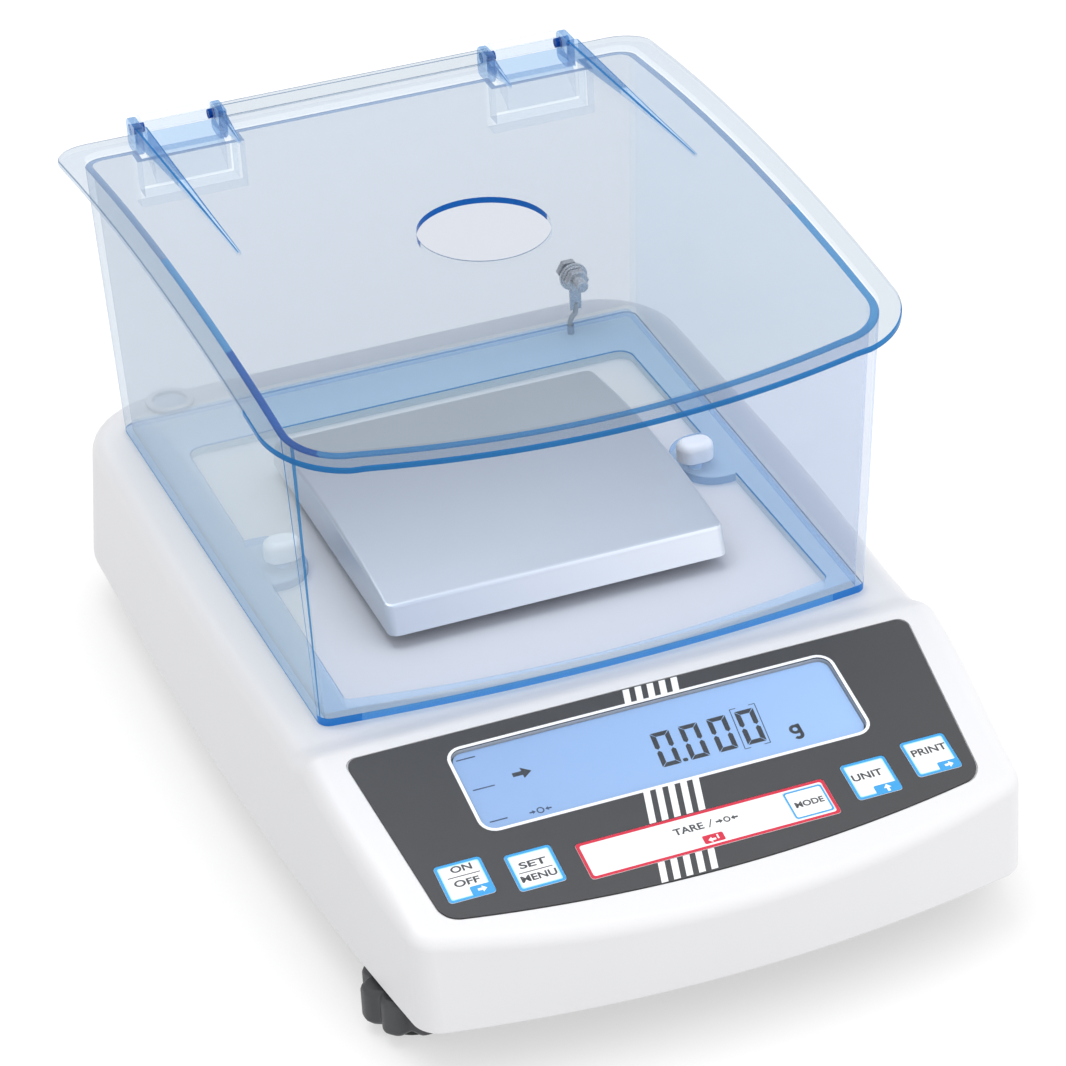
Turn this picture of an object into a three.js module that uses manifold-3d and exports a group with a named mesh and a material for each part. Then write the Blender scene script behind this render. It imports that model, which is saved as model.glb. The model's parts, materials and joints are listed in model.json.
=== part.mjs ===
// A precision balance with a hinged clear draft shield, in millimetres, +Z up.
// The origin is on the table under the middle of the housing, and the front faces -Y.
import * as THREE from 'three';
import { mergeVertices } from 'three/addons/utils/BufferGeometryUtils.js';
import Module from 'manifold-3d';

const wasm = await Module();
wasm.setup();

// Clearances and helpers of the cuts
const overrun = 2;
const gap = 0.3;
const seatGap = 0.1;
const weld = 0.0001;

// Housing
const housingWidth = 214.2;
const housingDepth = 322;
const deckHeight = 61;
const underside = 18;
const housingWall = 2.8;
const rearCorner = 30;
const frontCorner = 9;
const frontBow = 15.5;
const leastCorner = 3;
const shoulder = 6;
const sideDraft = 3.5;
const draftFromFront = 66;
const draftFullFromFront = 126;
const noseTaper = 13.5;
const noseTaperDepth = 221;
const noseTaperPower = 2;
const noseFootBack = 3.2;
const noseFootBow = 10.3;
const panelSlope = THREE.MathUtils.degToRad(13.1);
const panelRun = 84;
const crestRise = 4;
const crestRampDepth = 15;
const crestSetback = 3;
const screwPillarRadius = 4;

// Front foil, display and keys, measured down the sloped panel
const foilAside = 18.6;
const foilNarrowing = 13;
const foilSide = 65;
const foilBow = 8;
const foilTopCorner = 3.5;
const foilBottomCorner = 7;
const foilThickness = 0.5;
const foilGlue = 0.15;
const foilRecess = 0.5;
const foilMargin = 0.4;
const windowAside = 29;
const windowHeight = 31.6;
const windowTop = 6.6;
const windowCorner = 4;
const windowThickness = 1;
const displayLip = 2.5;
const displayThickness = 3;
const displayMargin = 0.5;
const boardThickness = 1.6;
const displayBoardAside = 9.5;
const displayBoardHeight = 62;
const displayBoardTop = 3;
const keyThickness = 1.6;
const keySize = 14;
const keyCorner = 1.2;
const outerKeyAside = 16.9;
const outerKeyDown = 53.2;
const keyPitch = 20;
const innerKeyDown = 55.6;
const tareAside = 6.4;
const tareHeight = 13.8;
const tareDown = 58.1;
const tarePlungerShare = 0.157;
const modeAside = 7.4;
const modeWidth = 12.4;
const modeHeight = 10.8;
const keyStroke = 0.5;
const keyStemRadius = 1.8;
const switchSize = 6;
const switchButtonRadius = 1.6;
const switchButtonHeight = 0.8;
const standoffRadius = 3;

// Draft shield
const shieldFromRear = 20;
const shieldBehindCrest = 0.4;
const shieldWall = 2.4;
const shieldHeight = 102.7;
const rimDrop = 6;
const rimCrestForward = 99.7;
const shieldAside = 16.1;
const baseNarrowing = 7.2;
const baseBow = 5.5;
const baseCorner = 4;
const rimFrontSpread = 7.8;
const rimRearSpread = 6.6;
const rimBow = 13.7;
const rimFrontLean = 9.4;
const rimRearLean = 3.3;
const rimFrontCorner = 19;
const rimRearCorner = 7;
const flangeThickness = 3;
const flangeSide = 7.7;
const flangeRear = 28.6;
const flangeFront = 7.1;
const flangeBow = 8.4;
const flangeRearCorner = 5;
const flangeFrontCorner = 2;
const tabLength = 29;
const tabReach = 14.4;
const tabFromFront = 80.7;
const tabThickness = 3;
const tabCorner = 11;

// Lid and hinges
const lidThickness = 2;
const lidFrontOverhang = 5.9;
const lidRearOverhang = 7.6;
const lidFrontReach = 15.9;
const lidRearReach = 12.5;
const lidBow = 15;
const lidFrontCorner = 27;
const lidRearCorner = 12;
const holeRadius = 20.3;
const holeFromFront = 88.3;
const hingeAside = 34.3;
const hingeWidth = 31;
const hingeAxisBack = 10;
const hingeAxisUp = 4.6;
const earThickness = 3;
const earRadius = 5;
const earPlay = 0.6;
const knuckleRadius = 4.2;
const pinRadius = 1.6;
const ribStopShares = [0.25, 0.5, 0.75];
const earStartShare = 0.6;
const earTurnShare = 0.95;
const ribLength = 100;
const shortRibLength = 24;
const upstandHeight = 7;
const upstandThickness = 2.2;
const pocketDepth = 7;
const pocketHeight = 14;
const pocketWall = 2;

// Latches
const knobRadius = 4.6;
const knobLength = 12;
const knobHeight = 6.5;
const knobInset = 6.5;
const knobDiscHeight = 2.2;
const latchShaftRadius = 2.2;
const camLength = 11;
const camWidth = 4;
const camThickness = 2;
const camCorner = 1.3;

// Pan and what carries it
const panAside = 32.4;
const panBehindFront = 38.6;
const panBeforeRear = 52;
const panSkirt = 8.5;
const panEdgeHeight = 13;
const panCrown = 4.5;
const panSheet = 1;
const panFlare = 3;
const spindleRadius = 4;
const spindleFootRadius = 7.2;
const spindleHole = 8;
const supportThickness = 3;
const supportAside = 12.1;
const supportArmWidth = 12;
const supportRise = 5.5;
const padRadius = 5;
const cellLength = 96;
const cellWidth = 22;
const cellBottom = 30;
const cellBelowDeck = 8.2;
const cellHoleWall = 3.5;
const cellHoleSpacing = 30;
const cellSlot = 5;
const cellFootLength = 22;

// Base, boards, sockets and screws
const baseThickness = 3;
const baseGap = 0.4;
const footAside = 21.9;
const footFromEnd = 45;
const footBossRadius = 5.5;
const footBossHeight = 10;
const footStudRadius = 3;
const footStudLength = 18;
const wheelRadius = 15;
const wheelHeight = 12.2;
const wheelLobes = 8;
const wheelLobeDepth = 2.4;
const footPadRadius = 9;
const footPadHeight = 3;
const pillarAside = 23.1;
const rearPillarFromEnd = 76;
const frontPillarFromEnd = 101;
const screwRadius = 1.4;
const screwHeadRadius = 3.2;
const screwHeadHeight = 1.5;
const screwLength = 14;
const boardAside = 47.1;
const boardDepth = 78;
const boardFromFront = 72;
const boardStandoff = 6;
const boardInset = 6;
const socketHeight = 36;
const jackAside = 51.1;
const jackRadius = 5.5;
const jackBore = 3.2;
const jackLength = 14;
const jackBoreDepth = 9.8;
const portX = -22;
const portWidth = 31;
const portHeight = 12.5;
const portLength = 13;
const portLip = 3;
const portSideLip = 6;

// Earthing point on the shield's rear wall
const groundAside = 22;
const groundUp = 20;
const groundBoltRadius = 2;
const groundHeadRadius = 4.2;
const groundHeadHeight = 2.8;
const washerRadius = 5;
const washerThickness = 0.8;
const lugThickness = 0.8;
const lugRadius = 4.4;
const lugLength = 12;
const lugTail = 4;
const nutRadius = 4.2;
const nutHeight = 3;
const boltTip = 2.5;
const wireRadius = 0.9;
const wireAside = 2.7;
const wireDrop = 8;

// Spirit level
const levelAside = 19;
const levelFromRear = 11;
const levelRadius = 7;
const levelDepth = 6;
const levelRim = 1.2;
const levelDome = 1;

// Sizes that follow from the housing and from each other
const foilWidth = housingWidth - 2 * foilAside;
const windowWidth = foilWidth - 2 * windowAside;
const displayBoardWidth = foilWidth - 2 * displayBoardAside;
const outerKeyX = foilWidth / 2 - outerKeyAside;
const innerKeyX = outerKeyX - keyPitch;
const tareWidth = 2 * (innerKeyX - keySize / 2 - tareAside);
const tarePlungerX = tareWidth * tarePlungerShare;
const modeX = tareWidth / 2 - modeAside;
const baseRearWidth = housingWidth - 2 * shieldAside;
const baseFrontWidth = baseRearWidth - baseNarrowing;
const rimFrontWidth = baseFrontWidth + rimFrontSpread;
const rimRearWidth = baseRearWidth + rimRearSpread;
const lidFrontWidth = rimFrontWidth + 2 * lidFrontOverhang;
const lidRearWidth = rimRearWidth + 2 * lidRearOverhang;
const hingeSpacing = rimRearWidth - 2 * hingeAside;
const panWidth = baseFrontWidth - 2 * panAside;
const footX = housingWidth / 2 - footAside;
const pillarX = housingWidth / 2 - pillarAside;
const boardWidth = housingWidth - 2 * boardAside;
const jackX = housingWidth / 2 - jackAside;
const groundX = baseRearWidth / 2 - groundAside;
const levelX = levelAside - baseRearWidth / 2;

// Places worked out from the sizes
const frontY = -housingDepth / 2;
const rearY = housingDepth / 2;
const panelTopY = frontY + panelRun;
const shieldRearY = rearY - shieldFromRear;
const shieldFrontY = panelTopY + crestSetback + crestRampDepth + shieldBehindCrest;
const panDepth = shieldRearY - shieldFrontY - panBehindFront - panBeforeRear;
const panelTopZ = deckHeight + crestRise;
const deckUnder = deckHeight - housingWall;
const cellHeight = deckUnder - cellBelowDeck - cellBottom;
const cellHoleRadius = cellHeight / 2 - cellHoleWall;
const flangeBottom = deckHeight + gap;
const flangeTop = flangeBottom + flangeThickness;
const rimCrestY = shieldRearY - rimCrestForward;
const rimDropReach = rimCrestForward + rimRearLean;
const panY = shieldFrontY + panBehindFront + panDepth / 2;
const supportHalf = Math.min(panWidth, panDepth) / 2 - supportAside;
const supportArm = supportHalf * Math.SQRT2 - supportArmWidth / 2;
const frontFootY = frontY + footFromEnd;
const rearFootY = rearY - footFromEnd;
const frontPillarY = frontY + frontPillarFromEnd;
const rearPillarY = rearY - rearPillarFromEnd;
const baseTop = underside + gap + baseThickness;
const hingeY = shieldRearY + hingeAxisBack;
const cornerSteps = 5;
const bowSteps = 6;
const roundSteps = 12;
const coarseSteps = 6;
const fineSteps = 20;
const holeSteps = 40;
const arcSteps = 2;
const shoulderSteps = 3;
const rampSteps = 4;
const earSteps = 5;
const lobeSteps = 5;
const hexSides = 6;
const wireSteps = 14;
const wireArcSteps = 4;

// Colours and finishes
function material(color, roughness, metalness, opacity = 1) {
  return new THREE.MeshStandardMaterial({ color, roughness, metalness, opacity, transparent: opacity < 1 });
}
const whitePlastic = () => material(0xe9e9ec, 0.45, 0);
const darkPlastic = () => material(0x55575a, 0.55, 0);
const blackRubber = () => material(0x2a2b2d, 0.85, 0);
const clearBlue = () => material(0xb9d2ee, 0.05, 0, 0.35);
const clearPane = () => material(0xa0c5f3, 0.08, 0, 0.5);
const foilGrey = () => material(0x58585a, 0.5, 0);
const keyWhite = () => material(0xf4f5f7, 0.4, 0);
const brushedSteel = () => material(0xb4b8c0, 0.35, 0.9);
const machinedSteel = () => material(0x9ea2a8, 0.3, 1);
const castAluminium = () => material(0xa9acb0, 0.5, 0.8);
const boardGreen = () => material(0x1e6b3c, 0.5, 0);
const greyWire = () => material(0x9aa0a8, 0.6, 0);

const balance = new THREE.Group();
const panel = new THREE.Group();
panel.position.set(0, panelTopY, panelTopZ);
panel.rotation.x = panelSlope;
balance.add(panel);
panel.updateMatrixWorld(true);

// Solids and geometries

function solidOf(geometry) {
  const bare = geometry.clone();
  bare.deleteAttribute('normal');
  bare.deleteAttribute('uv');
  const merged = mergeVertices(bare, weld);
  return new wasm.Manifold(new wasm.Mesh({
    numProp: 3,
    vertProperties: new Float32Array(merged.attributes.position.array),
    triVerts: new Uint32Array(merged.index.array),
  }));
}

function geometryOf(solid) {
  const mesh = solid.getMesh();
  const geometry = new THREE.BufferGeometry();
  const places = new THREE.BufferAttribute(new Float32Array(mesh.vertProperties), mesh.numProp);
  geometry.setAttribute('position', places);
  geometry.setIndex(new THREE.BufferAttribute(new Uint32Array(mesh.triVerts), 1));
  return geometry;
}

function joined(first, ...others) {
  return others.reduce((sum, part) => sum.add(part), first);
}

function cutFrom(first, ...others) {
  return others.reduce((left, part) => left.subtract(part), first);
}

function addPart(name, shape, surface, parent = balance) {
  const geometry = shape.isBufferGeometry ? shape : geometryOf(shape);
  geometry.computeVertexNormals();
  const mesh = new THREE.Mesh(geometry, surface);
  mesh.name = name;
  parent.add(mesh);
  return mesh;
}

// A block between two corners
function block(x0, y0, z0, x1, y1, z1) {
  const geometry = new THREE.BoxGeometry(x1 - x0, y1 - y0, z1 - z0);
  geometry.translate((x0 + x1) / 2, (y0 + y1) / 2, (z0 + z1) / 2);
  return solidOf(geometry);
}

// An upright round bar from z0 to z1
function post(radius, x, y, z0, z1, steps = roundSteps) {
  const geometry = new THREE.CylinderGeometry(radius, radius, z1 - z0, steps);
  geometry.rotateX(Math.PI / 2);
  geometry.translate(x, y, (z0 + z1) / 2);
  return solidOf(geometry);
}

// A round bar along X from x0 to x1
function barX(radius, x0, x1, y, z, steps = roundSteps) {
  const geometry = new THREE.CylinderGeometry(radius, radius, x1 - x0, steps);
  geometry.rotateZ(Math.PI / 2);
  geometry.translate((x0 + x1) / 2, y, z);
  return solidOf(geometry);
}

// A round bar along Y from y0 to y1
function barY(radius, x, y0, y1, z, steps = roundSteps) {
  const geometry = new THREE.CylinderGeometry(radius, radius, y1 - y0, steps);
  geometry.translate(x, (y0 + y1) / 2, z);
  return solidOf(geometry);
}

// A flat shape raised from z0 to z1
function raised(shape, z0, z1) {
  const settings = { depth: z1 - z0, bevelEnabled: false, curveSegments: arcSteps };
  const geometry = new THREE.ExtrudeGeometry(shape, settings);
  geometry.translate(0, 0, z0);
  return solidOf(geometry);
}

// A side view, given as [y, z] points, made thick from x0 to x1
function sideView(points, x0, x1) {
  const shape = new THREE.Shape(points.map(([y, z]) => new THREE.Vector2(y, z)));
  const geometry = new THREE.ExtrudeGeometry(shape, { depth: x1 - x0, bevelEnabled: false });
  geometry.rotateZ(Math.PI / 2);
  geometry.rotateY(Math.PI / 2);
  geometry.translate(x0, 0, 0);
  return solidOf(geometry);
}

function roundedBox(x, y, width, height, radius) {
  const left = x - width / 2;
  const right = x + width / 2;
  const low = y - height / 2;
  const high = y + height / 2;
  const shape = new THREE.Shape();
  shape.moveTo(left + radius, low);
  shape.lineTo(right - radius, low);
  shape.absarc(right - radius, low + radius, radius, -Math.PI / 2, 0);
  shape.lineTo(right, high - radius);
  shape.absarc(right - radius, high - radius, radius, 0, Math.PI / 2);
  shape.lineTo(left + radius, high);
  shape.absarc(left + radius, high - radius, radius, Math.PI / 2, Math.PI);
  shape.lineTo(left, low + radius);
  shape.absarc(left + radius, low + radius, radius, Math.PI, 1.5 * Math.PI);
  return shape;
}

// Outlines that are alike on both sides of X = 0: the right half, from the rear to the front

function cornerArc(before, corner, after, radius, steps) {
  const back = before.clone().sub(corner).normalize();
  const ahead = after.clone().sub(corner).normalize();
  const half = Math.acos(back.dot(ahead)) / 2;
  const middle = back.clone().add(ahead).normalize().multiplyScalar(radius / Math.sin(half)).add(corner);
  const start = back.clone().multiplyScalar(radius / Math.tan(half)).add(corner).sub(middle);
  const turn = -(Math.PI - 2 * half);
  const points = [];
  for (let i = 0; i <= steps; i += 1) {
    points.push(start.clone().rotateAround(new THREE.Vector2(), (turn * i) / steps).add(middle));
  }
  return points;
}

// spec: rear, front, bow, rearRadius, frontRadius, side(y) giving the half width,
// and stops: the y values on the side
function halfOutline(spec) {
  const bowAt = (x) => spec.front - spec.bow * (1 - (x / spec.side(spec.front)) ** 2);
  const rearPoint = new THREE.Vector2(spec.side(spec.rear), spec.rear);
  const frontPoint = new THREE.Vector2(spec.side(spec.front), spec.front);
  const firstStop = spec.stops[0];
  const lastStop = spec.stops[spec.stops.length - 1];
  const sideFirst = new THREE.Vector2(spec.side(firstStop), firstStop);
  const sideLast = new THREE.Vector2(spec.side(lastStop), lastStop);
  const rearMiddle = new THREE.Vector2(0, spec.rear);
  const bowNear = frontPoint.x * (1 - 1 / bowSteps);
  const bowPoint = new THREE.Vector2(bowNear, bowAt(bowNear));
  const points = cornerArc(rearMiddle, rearPoint, sideFirst, spec.rearRadius, cornerSteps);
  for (const y of spec.stops) points.push(new THREE.Vector2(spec.side(y), y));
  points.push(...cornerArc(sideLast, frontPoint, bowPoint, spec.frontRadius, cornerSteps));
  const bowStart = points[points.length - 1].x;
  for (let i = 1; i < bowSteps; i += 1) {
    const x = bowStart * (1 - i / (bowSteps - 0.5));
    points.push(new THREE.Vector2(x, bowAt(x)));
  }
  return points;
}

// The whole loop, at the height that heightAt(y) gives
function fullLoop(half, heightAt, widthShareAt = () => 1) {
  const right = half.map((p) => new THREE.Vector3(p.x * widthShareAt(p.y), p.y, heightAt(p.y)));
  const left = right.map((p) => new THREE.Vector3(-p.x, p.y, p.z)).reverse();
  return [...right, ...left];
}

// Joins loops of equal length by a skin. An open skin gets caps that run straight across in X.
function skin(loops, closed = false) {
  const count = loops[0].length;
  const positions = loops.flat().flatMap((p) => [p.x, p.y, p.z]);
  const triangles = [];
  const rows = closed ? loops.length : loops.length - 1;
  for (let row = 0; row < rows; row += 1) {
    const a = row * count;
    const b = ((row + 1) % loops.length) * count;
    for (let i = 0; i < count; i += 1) {
      const j = (i + 1) % count;
      triangles.push(a + i, a + j, b + j, a + i, b + j, b + i);
    }
  }
  if (!closed) {
    const top = (loops.length - 1) * count;
    for (let i = 0; i < count / 2 - 1; i += 1) {
      const j = i + 1;
      const k = count - 1 - j;
      const m = count - 1 - i;
      triangles.push(i, m, k, i, k, j);
      triangles.push(top + i, top + j, top + k, top + i, top + k, top + m);
    }
  }
  const geometry = new THREE.BufferGeometry();
  geometry.setAttribute('position', new THREE.BufferAttribute(new Float32Array(positions), 3));
  geometry.setIndex(triangles);
  if (signedVolume(geometry) < 0) geometry.setIndex(triangles.reverse());
  return solidOf(geometry);
}

function signedVolume(geometry) {
  const place = geometry.attributes.position;
  const index = geometry.index.array;
  const corner = (i) => new THREE.Vector3().fromBufferAttribute(place, index[i]);
  let sum = 0;
  for (let i = 0; i < index.length; i += 3) {
    sum += corner(i).dot(corner(i + 1).cross(corner(i + 2)));
  }
  return sum / 6;
}

// Heights over the table

function deckAt(y) {
  const rampEnd = panelTopY + crestSetback;
  const rampStart = rampEnd + crestRampDepth;
  if (y >= rampStart) return deckHeight;
  if (y <= rampEnd) return panelTopZ + (y - panelTopY) * Math.tan(panelSlope);
  const rampTop = panelTopZ + crestSetback * Math.tan(panelSlope);
  return deckHeight + (rampTop - deckHeight) * THREE.MathUtils.smoothstep(-y, -rampStart, -rampEnd);
}

function rimAt(y) {
  return deckHeight + shieldHeight - rimDrop * ((y - rimCrestY) / rimDropReach) ** 2;
}

const lidUnderAt = (y) => rimAt(y) + gap;
const lidTopAt = (y) => lidUnderAt(y) + lidThickness;

// Housing shell

function housingSide(y, inset) {
  const behind = Math.max(0, (frontY + noseTaperDepth - y) / (noseTaperDepth - (frontBow + frontCorner / 2)));
  return housingWidth / 2 - noseTaper * behind ** noseTaperPower - inset;
}

const housingStopShares = [0.72, 0.4, 0.1, -0.12];
const noseStopShares = [0.11, 0.33, 0.54, 0.76];

function housingOutline(inset, bow = frontBow, back = 0) {
  const ramp = Array.from({ length: rampSteps + 1 }, (_, i) => (
    panelTopY + crestSetback + crestRampDepth * (1 - i / rampSteps)
  ));
  const noseRun = panelRun - frontBow - frontCorner - inset;
  const nose = noseStopShares.map((share) => panelTopY - share * noseRun);
  return halfOutline({
    rear: rearY - inset,
    front: frontY + back + bow + inset,
    bow,
    rearRadius: rearCorner - inset,
    frontRadius: Math.max(frontCorner - inset, leastCorner),
    side: (y) => housingSide(y, inset),
    stops: [...housingStopShares.map((share) => share * rearY), ...ramp, ...nose],
  });
}

// The sides lean in towards the deck, and stand upright at the nose
function draftShare(z, y) {
  const full = THREE.MathUtils.smoothstep(y, frontY + draftFromFront, frontY + draftFullFromFront);
  return 1 - (full * sideDraft * (z - underside)) / (deckHeight - underside) / (housingWidth / 2);
}

function housingBody(inset, bottomZ, lower, steps) {
  const loops = [];
  const edge = Math.max(shoulder - inset, leastCorner / 2);
  const foot = housingOutline(inset, noseFootBow, noseFootBack);
  loops.push(fullLoop(foot, () => bottomZ, (y) => draftShare(bottomZ, y)));
  for (let i = 0; i <= steps; i += 1) {
    const turn = (i / steps) * (Math.PI / 2);
    const inward = edge * (1 - Math.cos(turn));
    const heightAt = (y) => deckAt(y) - lower - edge * (1 - Math.sin(turn));
    loops.push(fullLoop(housingOutline(inset + inward), heightAt, (y) => draftShare(deckHeight, y)));
  }
  return skin(loops);
}

function onPanel(solid) {
  return solid.transform(panel.matrixWorld.elements);
}

// Panel shapes: x to the right, y up the slope, 0 at the foil's top edge

function foilShape(margin) {
  const side = (y) => foilWidth / 2 + margin - ((foilNarrowing / 2) * -y) / foilSide;
  const half = halfOutline({
    rear: margin,
    front: -foilSide - margin,
    bow: foilBow,
    rearRadius: foilTopCorner,
    frontRadius: foilBottomCorner,
    side,
    stops: [-foilSide / 2],
  });
  return new THREE.Shape(fullLoop(half, () => 0).map((p) => new THREE.Vector2(p.x, p.y)));
}

const windowY = -windowTop - windowHeight / 2;
const tareY = -tareDown;
const keyTable = {
  on_off: { x: -outerKeyX, y: -outerKeyDown, width: keySize, height: keySize },
  menu: { x: -innerKeyX, y: -innerKeyDown, width: keySize, height: keySize },
  tare: { x: 0, y: tareY, width: tareWidth, height: tareHeight },
  mode: { x: modeX, y: tareY, width: modeWidth, height: modeHeight },
  unit: { x: innerKeyX, y: -innerKeyDown, width: keySize, height: keySize },
  print: { x: outerKeyX, y: -outerKeyDown, width: keySize, height: keySize },
};
const plungerX = (name) => (name === 'tare' ? -tarePlungerX : keyTable[name].x);

function keyShape(name, margin) {
  const key = keyTable[name];
  return roundedBox(key.x, key.y, key.width + 2 * margin, key.height + 2 * margin, keyCorner);
}

const foilFloor = -foilRecess + foilGlue;
const foilTop = foilFloor + foilThickness;
const keyBottom = foilTop - keyThickness;
const windowBottom = foilTop - windowThickness;
const displayTop = windowBottom - gap;
const displayRimTop = -foilRecess - housingWall - gap;
const displayBottom = displayRimTop - displayThickness;
const boardTop = displayBottom - gap;
const boardBottom = boardTop - boardThickness;
const stemBottom = -housingWall;
const switchTop = stemBottom - keyStroke - gap / 2;
const openKeys = ['on_off', 'menu', 'tare', 'unit', 'print'];

function screwPlaces() {
  return [
    { name: 'front_left', x: -pillarX, y: frontPillarY },
    { name: 'front_right', x: pillarX, y: frontPillarY },
    { name: 'rear_left', x: -pillarX, y: rearPillarY },
    { name: 'rear_right', x: pillarX, y: rearPillarY },
  ];
}

function footPlaces() {
  return [
    { name: 'front_left', x: -footX, y: frontFootY },
    { name: 'front_right', x: footX, y: frontFootY },
    { name: 'rear_left', x: -footX, y: rearFootY },
    { name: 'rear_right', x: footX, y: rearFootY },
  ];
}

const latchX = (baseFrontWidth / 2 - shieldWall - flangeSide) - tabReach + knobInset;
const latchY = shieldFrontY + tabFromFront + tabLength / 2;
const levelY = rearY - levelFromRear;
const groundZ = deckHeight + groundUp;
const groundWallOut = shieldRearY + (rimRearLean * groundUp) / shieldHeight;
const groundWallIn = groundWallOut - shieldWall;
const washerY = groundWallIn - gap;
const lugY = washerY - washerThickness - seatGap;
const nutY = lugY - lugThickness - seatGap;
const lugMiddleY = lugY - lugThickness / 2;
const wireX = groundX - wireAside;
const wireY = lugMiddleY - wireRadius;
const standoffPlaces = [
  { x: displayBoardWidth / 2 - standoffRadius - gap, y: -displayBoardTop - standoffRadius - gap },
  { x: -displayBoardWidth / 2 + standoffRadius + gap, y: -displayBoardTop - standoffRadius - gap },
];

function makeHousing() {
  const outer = housingBody(0, underside, 0, shoulderSteps);
  const inner = housingBody(housingWall, underside - overrun, housingWall, 1);
  let shell = cutFrom(outer, inner);
  const recess = onPanel(raised(foilShape(foilMargin), -foilRecess, overrun * 2));
  shell = cutFrom(shell, recess);
  for (const place of screwPlaces()) {
    const top = deckAt(place.y) - housingWall / 2;
    const pillar = post(screwPillarRadius, place.x, place.y, baseTop + gap, top);
    const screwTop = underside + screwLength + overrun;
    const bore = post(screwRadius + gap, place.x, place.y, baseTop - overrun, screwTop);
    shell = cutFrom(joined(shell, pillar), bore);
  }
  for (const place of standoffPlaces) {
    const bar = post(standoffRadius, place.x, place.y, boardTop + gap, -foilRecess - housingWall / 2);
    shell = joined(shell, onPanel(bar));
  }
  const through = -foilRecess - housingWall - overrun;
  const windowCut = roundedBox(0, windowY, windowWidth + 2 * gap, windowHeight + 2 * gap, windowCorner);
  shell = cutFrom(shell, onPanel(raised(windowCut, through, overrun)));
  for (const name of openKeys) {
    shell = cutFrom(shell, onPanel(raised(keyShape(name, gap), through, overrun)));
  }
  shell = cutFrom(shell, post(spindleHole, 0, panY, deckUnder - overrun, deckHeight + overrun));
  for (const side of [-1, 1]) {
    const slot = roundedBox(side * latchX, latchY, camWidth + 2 * gap, camLength + 2 * gap, camWidth / 2);
    shell = cutFrom(shell, raised(slot, deckUnder - overrun, deckHeight + overrun));
  }
  shell = cutFrom(
    shell,
    post(levelRadius + gap, levelX, levelY, deckUnder - overrun, deckHeight + overrun),
    post(wireRadius + gap, wireX, wireY, deckUnder - overrun, deckHeight + overrun),
    barY(jackRadius + gap, jackX, rearY - housingWall - overrun, rearY + overrun, socketHeight),
    block(
      portX - portWidth / 2 - gap, rearY - housingWall - overrun, socketHeight - portHeight / 2 - gap,
      portX + portWidth / 2 + gap, rearY + overrun, socketHeight + portHeight / 2 + gap,
    ),
  );
  addPart('upper_housing', shell, whitePlastic());
}

// Front foil, display and keys

function makePanel() {
  const foil = foilShape(0);
  foil.holes.push(roundedBox(0, windowY, windowWidth + 2 * gap, windowHeight + 2 * gap, windowCorner));
  for (const name of openKeys) foil.holes.push(keyShape(name, gap));
  addPart('keypad_overlay', raised(foil, foilFloor, foilTop), foilGrey(), panel);

  const pane = roundedBox(0, windowY, windowWidth, windowHeight, windowCorner);
  addPart('display_window', raised(pane, windowBottom, foilTop), clearPane(), panel);
  const windowShape = (margin, corner) => (
    roundedBox(0, windowY, windowWidth + 2 * margin, windowHeight + 2 * margin, corner)
  );
  const lcd = joined(
    raised(windowShape(displayLip, displayLip), displayBottom, displayRimTop),
    raised(windowShape(-displayMargin, windowCorner - displayMargin), displayBottom, displayTop),
  );
  addPart('lcd_panel', lcd, clearPane(), panel);
  const boardY = -displayBoardTop - displayBoardHeight / 2;
  const board = roundedBox(0, boardY, displayBoardWidth, displayBoardHeight, foilTopCorner);
  addPart('display_board', raised(board, boardBottom, boardTop), boardGreen(), panel);

  for (const [name, key] of Object.entries(keyTable)) {
    const cap = keyShape(name, 0);
    if (name === 'tare') cap.holes.push(keyShape('mode', gap));
    const x = plungerX(name);
    const stem = post(keyStemRadius, x, key.y, stemBottom, keyBottom + keyThickness / 2, coarseSteps);
    addPart(`key_${name}`, joined(raised(cap, keyBottom, foilTop), stem), keyWhite(), panel);
    const body = raised(
      roundedBox(x, key.y, switchSize, switchSize, keyCorner / 2),
      boardTop + gap,
      switchTop - switchButtonHeight,
    );
    const buttonBottom = switchTop - switchButtonHeight * 2;
    const button = post(switchButtonRadius, x, key.y, buttonBottom, switchTop, coarseSteps);
    addPart(`switch_${name}`, joined(body, button), darkPlastic(), panel);
  }
}

// Draft shield

function shieldSide(frontHalf, rearHalf, front, rear) {
  return (y) => frontHalf + ((rearHalf - frontHalf) * (y - front)) / (rear - front);
}

const sideShares = [0.9, 0.75, 0.6, 0.45, 0.3, 0.15];

function shieldOutline(rearWidth, frontWidth, rear, front, bow, rearRadius, frontRadius, inset) {
  const backY = rear - inset;
  const foreY = front + inset;
  return halfOutline({
    rear: backY,
    front: foreY,
    bow,
    rearRadius: Math.max(rearRadius - inset, leastCorner / 2),
    frontRadius: Math.max(frontRadius - inset, leastCorner / 2),
    side: shieldSide(frontWidth / 2 - inset, rearWidth / 2 - inset, foreY, backY),
    stops: sideShares.map((s) => foreY + (backY - foreY) * s),
  });
}

function baseOutline(inset) {
  return shieldOutline(
    baseRearWidth, baseFrontWidth, shieldRearY, shieldFrontY + baseBow, baseBow,
    baseCorner, baseCorner, inset,
  );
}

function rimOutline(inset) {
  return shieldOutline(
    rimRearWidth, rimFrontWidth, shieldRearY + rimRearLean, shieldFrontY + baseBow - rimFrontLean, rimBow,
    rimRearCorner, rimFrontCorner, inset,
  );
}

const hingeEdges = (side) => {
  const middle = (side * hingeSpacing) / 2;
  return { left: middle - hingeWidth / 2, right: middle + hingeWidth / 2 };
};
const hingeZ = lidTopAt(hingeY) + hingeAxisUp - lidThickness;

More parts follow.
